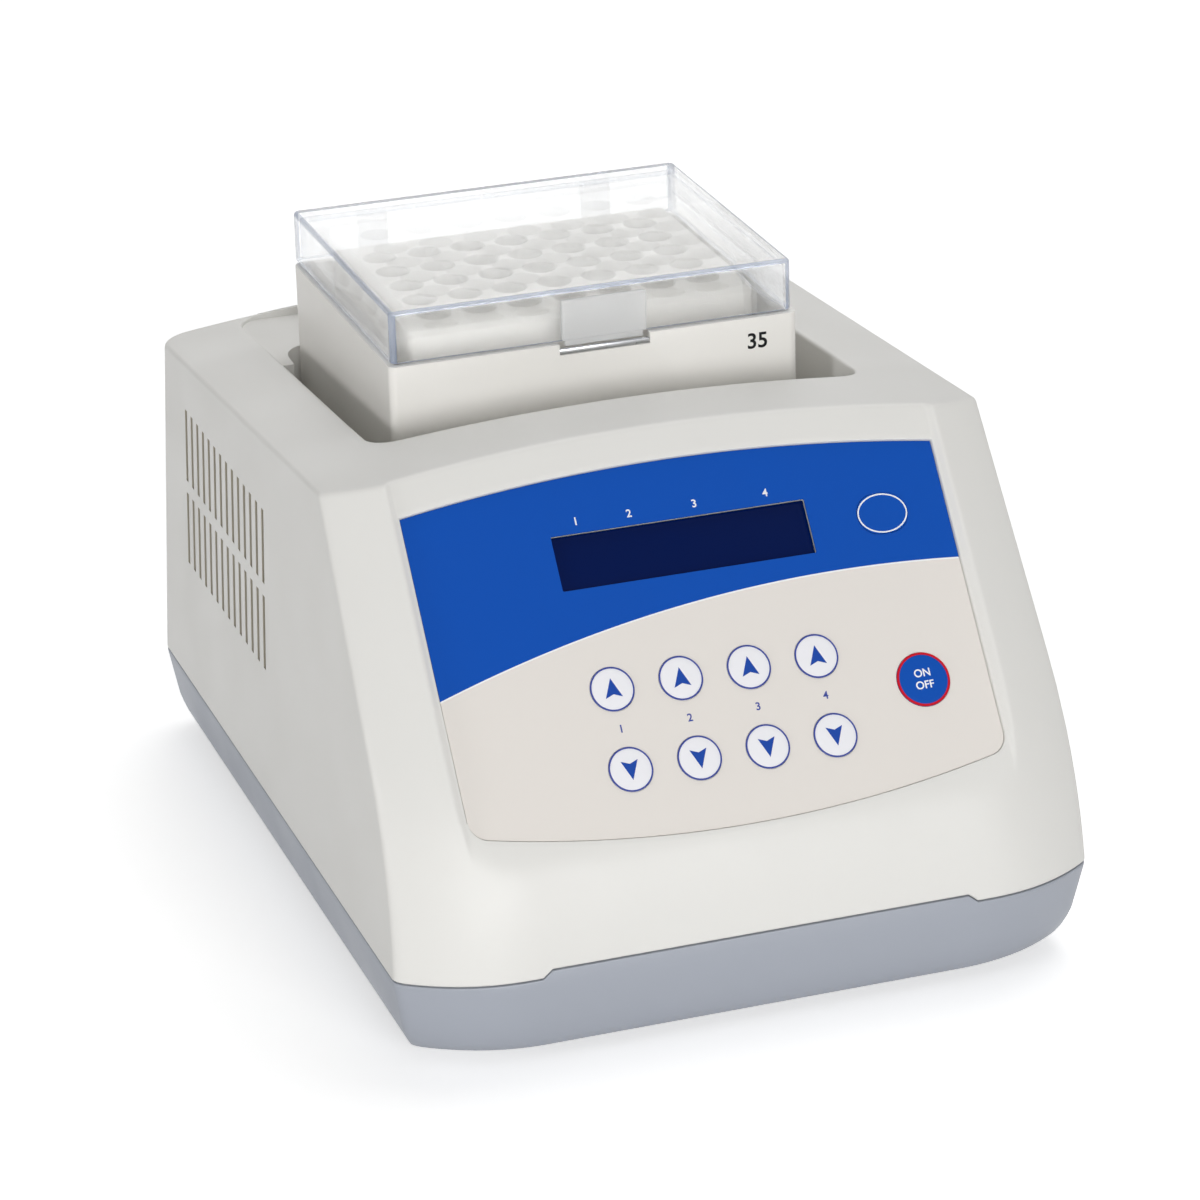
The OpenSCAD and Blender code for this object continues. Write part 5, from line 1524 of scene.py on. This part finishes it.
def make_lid(sizes):
    """Clear lid with a round-edged wall, its frosted clip pad and the hook under it."""
    low, high = node_box("lid")
    housing_low, _ = node_box("housing")
    lid_low, lid_high = low.copy(), high.copy()
    lid_low[1] = housing_low[1] + LID_SETBACK
    lid_low[2] = RIM_Z + LID_GAP
    centre = (lid_low + lid_high) / 2
    size = lid_high - lid_low
    rings = []
    for start, lip, edge in ((0.0, LID_LIP, sizes.lid_edge), (LID_WALL, -LID_INNER_LIP, LID_INNER_EDGE)):
        rings.append(lid_ring(centre, size, start + lip, lid_low[2]))
        rings.append(lid_ring(centre, size, start, lid_low[2] + LID_LIP))
        for turn in spaced(0.0, math.pi / 2, LID_EDGE_STEPS):
            rings.append(lid_ring(centre, size, start + edge * (1 - math.cos(turn)),
                lid_high[2] - start - edge * (1 - math.sin(turn))))
    outer = len(rings) // 2
    count = len(rings[0])
    points = [p for ring in rings for p in ring]
    faces, kinds = [], []
    for k in range(len(rings) - 1):
        a, b = k * count, (k + 1) * count
        if k == outer - 1:
            a, b = 0, outer * count
            faces += [(a + (i + 1) % count, a + i, b + i, b + (i + 1) % count) for i in range(count)]
            kinds += [1] * count
            continue
        for i in range(count):
            quad = (a + i, a + (i + 1) % count, b + (i + 1) % count, b + i)
            faces.append(quad if k < outer else tuple(reversed(quad)))
            # Faces of the rounded edges and the lip get the edge material, which paints a blue-grey shade on
            # them
            on_edge = k < outer and (k != 1 or i % (LID_CORNER_STEPS + 1) < LID_CORNER_STEPS)
            kinds.append(1 if on_edge else 0)
    faces.append(tuple(range((outer - 1) * count, outer * count)))
    faces.append(tuple(reversed(range((len(rings) - 1) * count, len(rings) * count))))
    shell = plain_piece("lid shell", points, faces, MATERIALS["clear_plastic"], MATERIALS["lid_edge"],
        smooth=SMOOTH_LID, indices=kinds + [0, 0])
    left, right = CLIP_X - CLIP_W / 2, CLIP_X + CLIP_W / 2
    pad = rounded_box("clip pad", (left, low[1], RIM_Z + 1.0),
        (right, lid_low[1] - 0.05, lid_low[2] + CLIP_H), 0.6, MATERIALS["frosted"])
    hook = rounded_box("clip hook", (left + 1, housing_low[1] + 0.6, low[2]),
        (right - 1, housing_low[1] + 2.0, RIM_Z + 1.2), 0.3, MATERIALS["frosted"])
    lid = joined("clear_lid", [shell, pad, hook])
    settle(lid, "lid")
    tabs = softened("hinge_tabs", "lid_hinge_tabs", 0.35)
    tabs.data.materials[0] = MATERIALS["faint"]
    settle(tabs, "hinge_tabs")


LABEL_X = 54.0
LABEL_Z = 165.0


def make_housing(sizes):
    """Moving housing round the block, with its latch bar and the plain figure on its front."""
    housing = softened("housing", "mixing_housing", sizes.housing_edge, 3)
    low, _ = node_box("housing")
    place = Matrix(((MM, 0, 0, LABEL_X * MM), (0, 0, -MM, low[1] * MM), (0, MM, 0, LABEL_Z * MM),
        (0, 0, 0, 1)))
    label = printed_text("35", 0.0, 0.0, sizes.label_height, MATERIALS["black_print"], place, PRINT_LIFT)
    settle(joined("mixing_housing", [housing, label]), "housing")
    settle(softened("latch_catch", "latch_bar", 0.3), "latch_catch")


# Radius of the edges of each piece on the back, and of the display window
SOFT_NODES = {
    "back_panel": 0.35, "power_inlet": 0.4, "fuse_drawer": 0.4, "mains_switch": 0.4, "mains_rocker": 0.4,
    "fan_frame": 0.5, "display_window": 0.12,
}


def make_back(sizes):
    """The pieces on the back of the case and the display window, with their edges rounded."""
    for node, width in SOFT_NODES.items():
        settle(softened(node, node + "_piece", width), node)
    head = pan_head(sizes.screw_head)
    _, panel_high = node_box("back_panel")
    points = []
    for low, high in loose_boxes("panel_screws"):
        points.append(Vector(((low[0] + high[0]) / 2, panel_high[1] + 0.05, (low[2] + high[2]) / 2)) * MM)
    screws = grown("panel_screw_heads", points, repeated_tree(), {"Piece": head,
        "Material": MATERIALS["screw_steel"]})
    bpy.data.objects.remove(head)
    settle(screws, "panel_screws")


def pan_head(r):
    """A domed screw head with a cross recess, its axis along Y and its seat at the origin."""
    profile = [(0.0, 0.55), (0.35, 0.52), (0.7, 0.42), (0.92, 0.24), (1.0, 0.08), (1.0, 0.0), (0.5, 0.0),
        (0.5, -2.2), (0.0, -2.2)]
    turned = Matrix(((MM, 0, 0, 0), (0, 0, MM, 0), (0, -MM, 0, 0), (0, 0, 0, 1)))
    head = lathe("screw head", [(a * r, b * r) for a, b in profile], 0.0, 0.0, MATERIALS["screw_steel"],
        turned, 32)
    bm = bmesh.new()
    for size in ((0.26, 1.2), (1.2, 0.26)):
        bmesh.ops.create_cube(bm, size=1.0, matrix=Matrix.Translation((0.0, 0.55 * r * MM, 0.0))
            @ Matrix.Diagonal((size[0] * r * MM, 0.7 * r * MM, size[1] * r * MM, 1.0)))
    mesh = bpy.data.meshes.new("cross")
    bm.to_mesh(mesh)
    bm.free()
    return carved(head, put_in_scene("cross", mesh))


def make_feet(sizes):
    """Rubber feet, with soft lower edges."""
    settle(softened("rubber_feet", "rubber_foot_set", sizes.foot_edge, 3), "rubber_feet")


def dress_inner_nodes():
    """Finishes for the construction nodes that stay."""
    for name, node in NODES.items():
        material = MATERIALS[SLOT_OF[name]]
        if node.data.materials:
            for slot in range(len(node.data.materials)):
                node.data.materials[slot] = material
        else:
            node.data.materials.append(material)


# ---------------------------------------------------------------------------
# Stage
# ---------------------------------------------------------------------------
FLOOR_HALF = 3.0
# Each soft box's place, target, width and height, in metres
SOFT_BOXES = {
    "top": ((0.5, 0.55, 1.5), (0.0, 0.0, 0.1), 1.3, 1.1),
    "back": ((0.45, 1.45, 0.85), (0.0, 0.05, 0.18), 1.2, 0.7),
    "front": ((-0.15, -2.0, 0.6), (0.0, 0.0, 0.1), 1.5, 0.8),
    "left": ((-1.7, -0.35, 0.45), (0.0, 0.0, 0.1), 0.45, 0.35),
}


def camera_rays(tree):
    """One for what is seen straight, in a mirror or through a clear body, else nought, and one through it."""
    path = add_node(tree, "ShaderNodeLightPath")
    first = add_node(tree, "ShaderNodeMath", operation="ADD", use_clamp=True)
    both = add_node(tree, "ShaderNodeMath", operation="ADD", use_clamp=True)
    straight = add_node(tree, "ShaderNodeMath", operation="LESS_THAN")
    straight.inputs[1].default_value = 0.5
    seen = add_node(tree, "ShaderNodeMath", operation="MULTIPLY")
    tree.links.new(path.outputs["Is Camera Ray"], first.inputs[0])
    tree.links.new(path.outputs["Is Glossy Ray"], first.inputs[1])
    tree.links.new(first.outputs[0], both.inputs[0])
    tree.links.new(path.outputs["Is Transmission Ray"], both.inputs[1])
    tree.links.new(path.outputs["Diffuse Depth"], straight.inputs[0])
    tree.links.new(both.outputs[0], seen.inputs[0])
    tree.links.new(straight.outputs[0], seen.inputs[1])
    return seen.outputs[0], path.outputs["Is Transmission Ray"]


def make_floor(stage):
    """Pale floor, lifted towards white only where it is seen."""
    material, tree, shader = base_material("Pale floor", (stage.floor_shade,) * 3 + (1.0,), 0.6)
    shader.inputs["Emission Color"].default_value = (1.0, 1.0, 1.0, 1.0)
    lift = add_node(tree, "ShaderNodeMath", operation="MULTIPLY")
    lift.inputs[1].default_value = stage.floor_lift
    tree.links.new(camera_rays(tree)[0], lift.inputs[0])
    tree.links.new(lift.outputs[0], shader.inputs["Emission Strength"])
    mesh = bpy.data.meshes.new("floor")
    corners = [(x * FLOOR_HALF, y * FLOOR_HALF, 0) for x, y in ((-1, -1), (1, -1), (1, 1), (-1, 1))]
    mesh.from_pydata(corners, [], [(0, 1, 2, 3)])
    floor = put_in_scene("floor", mesh, material)


def make_world(stage):
    """White background, with weak light from all round, and its own strength under the clear lid."""
    world = bpy.data.worlds.new("Studio")
    world.use_nodes = True
    tree = world.node_tree
    tree.nodes.clear()
    soft, inside, seen = [add_node(tree, "ShaderNodeBackground", Strength=strength)
        for strength in (stage.fill, stage.lid_fill, 1.0)]
    for background in (soft, inside, seen):
        background.inputs["Color"].default_value = (1.0, 1.0, 1.0, 1.0)
    under_lid = add_node(tree, "ShaderNodeMixShader")
    mix = add_node(tree, "ShaderNodeMixShader")
    result = add_node(tree, "ShaderNodeOutputWorld")
    white, through = camera_rays(tree)
    tree.links.new(through, under_lid.inputs[0])
    tree.links.new(soft.outputs[0], under_lid.inputs[1])
    tree.links.new(inside.outputs[0], under_lid.inputs[2])
    tree.links.new(white, mix.inputs[0])
    tree.links.new(under_lid.outputs[0], mix.inputs[1])
    tree.links.new(seen.outputs[0], mix.inputs[2])
    tree.links.new(mix.outputs[0], result.inputs["Surface"])
    bpy.context.scene.world = world


def soft_box(name, place, target, width, height, power):
    """A rectangular light that faces its target."""
    light = bpy.data.lights.new(name, "AREA")
    light.shape = "RECTANGLE"
    light.size = width
    light.size_y = height
    light.energy = power
    lamp = bpy.data.objects.new(name, light)
    lamp.location = place
    lamp.rotation_euler = (Vector(target) - Vector(place)).to_track_quat("-Z", "Y").to_euler()
    bpy.context.scene.collection.objects.link(lamp)


CAMERA_PLACE = (-0.4525, -1.3705, 0.6855)
CAMERA_YAW = 0.3189
CAMERA_PITCH = 0.3954
CAMERA_ROLL = -0.0288
CAMERA_LENS = 145.83
SENSOR = 36.0


def make_camera():
    """Camera from its place and three angles."""
    cy, sy = math.cos(CAMERA_YAW), math.sin(CAMERA_YAW)
    cp, sp = math.cos(CAMERA_PITCH), math.sin(CAMERA_PITCH)
    cr, sr = math.cos(CAMERA_ROLL), math.sin(CAMERA_ROLL)
    ahead = Vector((sy * cp, cy * cp, -sp))
    level = Vector((cy, -sy, 0.0))
    upright = level.cross(ahead)
    right = cr * level + sr * upright
    up = -sr * level + cr * upright
    camera = bpy.data.cameras.new("camera")
    camera.sensor_width = SENSOR
    camera.lens = CAMERA_LENS
    camera.clip_start = 0.05
    camera.clip_end = 20.0
    holder = bpy.data.objects.new("camera", camera)
    turn = Matrix((right, up, -ahead)).transposed()
    holder.matrix_world = Matrix.Translation(CAMERA_PLACE) @ turn.to_4x4()
    bpy.context.scene.collection.objects.link(holder)
    bpy.context.scene.camera = holder


def make_stage(stage):
    """Floor, background, lights and camera."""
    make_floor(stage)
    make_world(stage)
    powers = {"top": stage.top_power, "back": stage.back_power, "front": stage.front_power,
        "left": stage.left_power}
    for side, (place, target, width, height) in SOFT_BOXES.items():
        soft_box(side + " soft box", place, target, width, height, powers[side])
    make_camera()
    bpy.context.scene.view_settings.view_transform = "Standard"


# ---------------------------------------------------------------------------
# Settings
# ---------------------------------------------------------------------------
def length(name, description, default):
    """A size in millimetres."""
    return FloatProperty(name=name, description=description + ", in millimetres", default=default, min=0.0,
        soft_max=50.0)


def power(name, description, default):
    """The power of a light."""
    return FloatProperty(name=name, description=description, default=default, min=0.0, unit="POWER")


def strength(name, description, default):
    """A strength without a unit."""
    return FloatProperty(name=name, description=description, default=default, min=0.0)


def colour(name, description, default):
    """The colour of a finish."""
    return FloatVectorProperty(name=name, description=description, default=default[:3], size=3, min=0.0,
        max=1.0, subtype="COLOR")


class MixerSizes(bpy.types.PropertyGroup):
    """Sizes in millimetres that can be changed before the pieces are made."""
    wall: length("Case wall", "Thickness of the case moulding", 2.6)
    split_line_w: length("Dividing line", "Width of the white line across the panel", 0.5)
    mark_height: length("Mark height", "Height of the figures on the panel", 3.4)
    word_height: length("Word height", "Height of the words on the start key", 3.4)
    key_line_w: length("Key line", "Width of the ring line on a key", 0.45)
    arrow_size: length("Arrow size", "Half the height of a key's arrowhead", 3.2)
    well_rim: length("Well rim", "Width of the chamfer round a well", 0.5)
    lid_edge: length("Lid edge", "Radius of the lid's upper edge", 1.3)
    housing_edge: length("Housing edge", "Radius of the housing's edges", 0.8)
    label_height: length("Figure height", "Height of the figure on the housing", 7.2)
    screw_head: length("Screw head", "Radius of a back panel screw head", 2.6)
    foot_edge: length("Foot edge", "Radius of the feet's edges", 0.8)


class MixerColours(bpy.types.PropertyGroup):
    """Colours of the finishes."""
    shell: colour("Shell", "Colour of the upper case", srgb(231, 230, 226))
    base: colour("Base", "Colour of the lower case", srgb(166, 171, 181))
    block: colour("Block", "Colour of the tube block", srgb(224, 222, 217))
    housing: colour("Housing", "Colour of the moving housing", srgb(244, 242, 237))
    blue_print: colour("Blue field", "Colour of the panel's upper field", srgb(6, 80, 180))
    cream_print: colour("Cream field", "Colour of the panel's lower field", srgb(236, 231, 225))


class MixerStage(bpy.types.PropertyGroup):
    """Light and floor."""
    top_power: power("Top light", "Power of the top soft box", 10.2)
    back_power: power("Back light", "Power of the back soft box", 1.2)
    front_power: power("Front light", "Power of the front soft box", 24.0)
    left_power: power("Left light", "Power of the left soft box", 6.0)
    fill: strength("Fill", "Strength of the light from all round", 0.16)
    lid_fill: strength("Fill under the lid", "Strength of the light from all round under the clear lid", 0.3)
    floor_shade: FloatProperty(name="Floor", description="Reflectance of the floor", default=0.86, min=0.0,
        max=1.0, subtype="FACTOR")
    floor_lift: strength("Floor lift", "Light added where the floor is seen", 0.52)


# ---------------------------------------------------------------------------
# Operators
# ---------------------------------------------------------------------------
class MIXER_OT_finishes(bpy.types.Operator):
    """Make the finishes and give them to the inner parts"""
    bl_idname = "mixer.finishes"
    bl_label = "Finishes"

    def execute(self, context):
        make_materials(context.scene.mixer_colours)
        dress_inner_nodes()
        return {"FINISHED"}


class MIXER_OT_case(bpy.types.Operator):
    """Make the upper case with its pit, vents and panel pocket"""
    bl_idname = "mixer.case"
    bl_label = "Upper case"

    def execute(self, context):
        make_top_shell(context.scene.mixer_sizes)
        return {"FINISHED"}


class MIXER_OT_base(bpy.types.Operator):
    """Make the lower case and the feet"""
    bl_idname = "mixer.base"
    bl_label = "Base and feet"

    def execute(self, context):
        make_base()
        make_feet(context.scene.mixer_sizes)
        return {"FINISHED"}


class MIXER_OT_panel_film(bpy.types.Operator):
    """Make the printed film of the control panel"""
    bl_idname = "mixer.panel_film"
    bl_label = "Panel film"

    def execute(self, context):
        make_overlay(context.scene.mixer_sizes)
        return {"FINISHED"}


class MIXER_OT_keys(bpy.types.Operator):
    """Make the ten keys"""
    bl_idname = "mixer.keys"
    bl_label = "Keys"

    def execute(self, context):
        make_keys(context.scene.mixer_sizes)
        return {"FINISHED"}


class MIXER_OT_tube_block(bpy.types.Operator):
    """Make the tube block with its wells"""
    bl_idname = "mixer.tube_block"
    bl_label = "Tube block"

    def execute(self, context):
        make_tube_block(context.scene.mixer_sizes)
        return {"FINISHED"}


class MIXER_OT_housing(bpy.types.Operator):
    """Make the moving housing and its latch bar"""
    bl_idname = "mixer.housing"
    bl_label = "Housing"

    def execute(self, context):
        make_housing(context.scene.mixer_sizes)
        return {"FINISHED"}


class MIXER_OT_lid(bpy.types.Operator):
    """Make the clear lid with its clip and hinge tabs"""
    bl_idname = "mixer.lid"
    bl_label = "Lid"

    def execute(self, context):
        make_lid(context.scene.mixer_sizes)
        return {"FINISHED"}


class MIXER_OT_back(bpy.types.Operator):
    """Make the back panel, the mains pieces, the fan frame and the screws"""
    bl_idname = "mixer.back"
    bl_label = "Back"

    def execute(self, context):
        make_back(context.scene.mixer_sizes)
        return {"FINISHED"}


class MIXER_OT_stage(bpy.types.Operator):
    """Set up the floor, the lights and the camera"""
    bl_idname = "mixer.stage"
    bl_label = "Stage"

    def execute(self, context):
        make_stage(context.scene.mixer_stage)
        return {"FINISHED"}


STEPS = [MIXER_OT_finishes, MIXER_OT_case, MIXER_OT_base, MIXER_OT_panel_film, MIXER_OT_keys,
    MIXER_OT_tube_block, MIXER_OT_housing, MIXER_OT_lid, MIXER_OT_back, MIXER_OT_stage]


class MIXER_PT_steps(bpy.types.Panel):
    """Thermal mixer, one button for each group of pieces"""
    bl_label = "Thermal Mixer"
    bl_idname = "MIXER_PT_steps"
    bl_space_type = "VIEW_3D"
    bl_region_type = "UI"
    bl_category = "Thermal Mixer"

    def draw(self, context):
        column = self.layout.column(align=True)
        for step in STEPS:
            column.operator(step.bl_idname)
        for group in (context.scene.mixer_sizes, context.scene.mixer_colours, context.scene.mixer_stage):
            box = self.layout.box()
            for name in group.__annotations__:
                box.prop(group, name)


CLASSES = [MixerSizes, MixerColours, MixerStage] + STEPS + [MIXER_PT_steps]


def register():
    for kind in CLASSES:
        bpy.utils.register_class(kind)
    bpy.types.Scene.mixer_sizes = PointerProperty(type=MixerSizes)
    bpy.types.Scene.mixer_colours = PointerProperty(type=MixerColours)
    bpy.types.Scene.mixer_stage = PointerProperty(type=MixerStage)


def unregister():
    del bpy.types.Scene.mixer_stage
    del bpy.types.Scene.mixer_colours
    del bpy.types.Scene.mixer_sizes
    for kind in reversed(CLASSES):
        bpy.utils.unregister_class(kind)


def main():
    register()
    for step in STEPS:
        group, name = step.bl_idname.split(".")
        getattr(getattr(bpy.ops, group), name)()


if __name__ == "__main__":
    main()
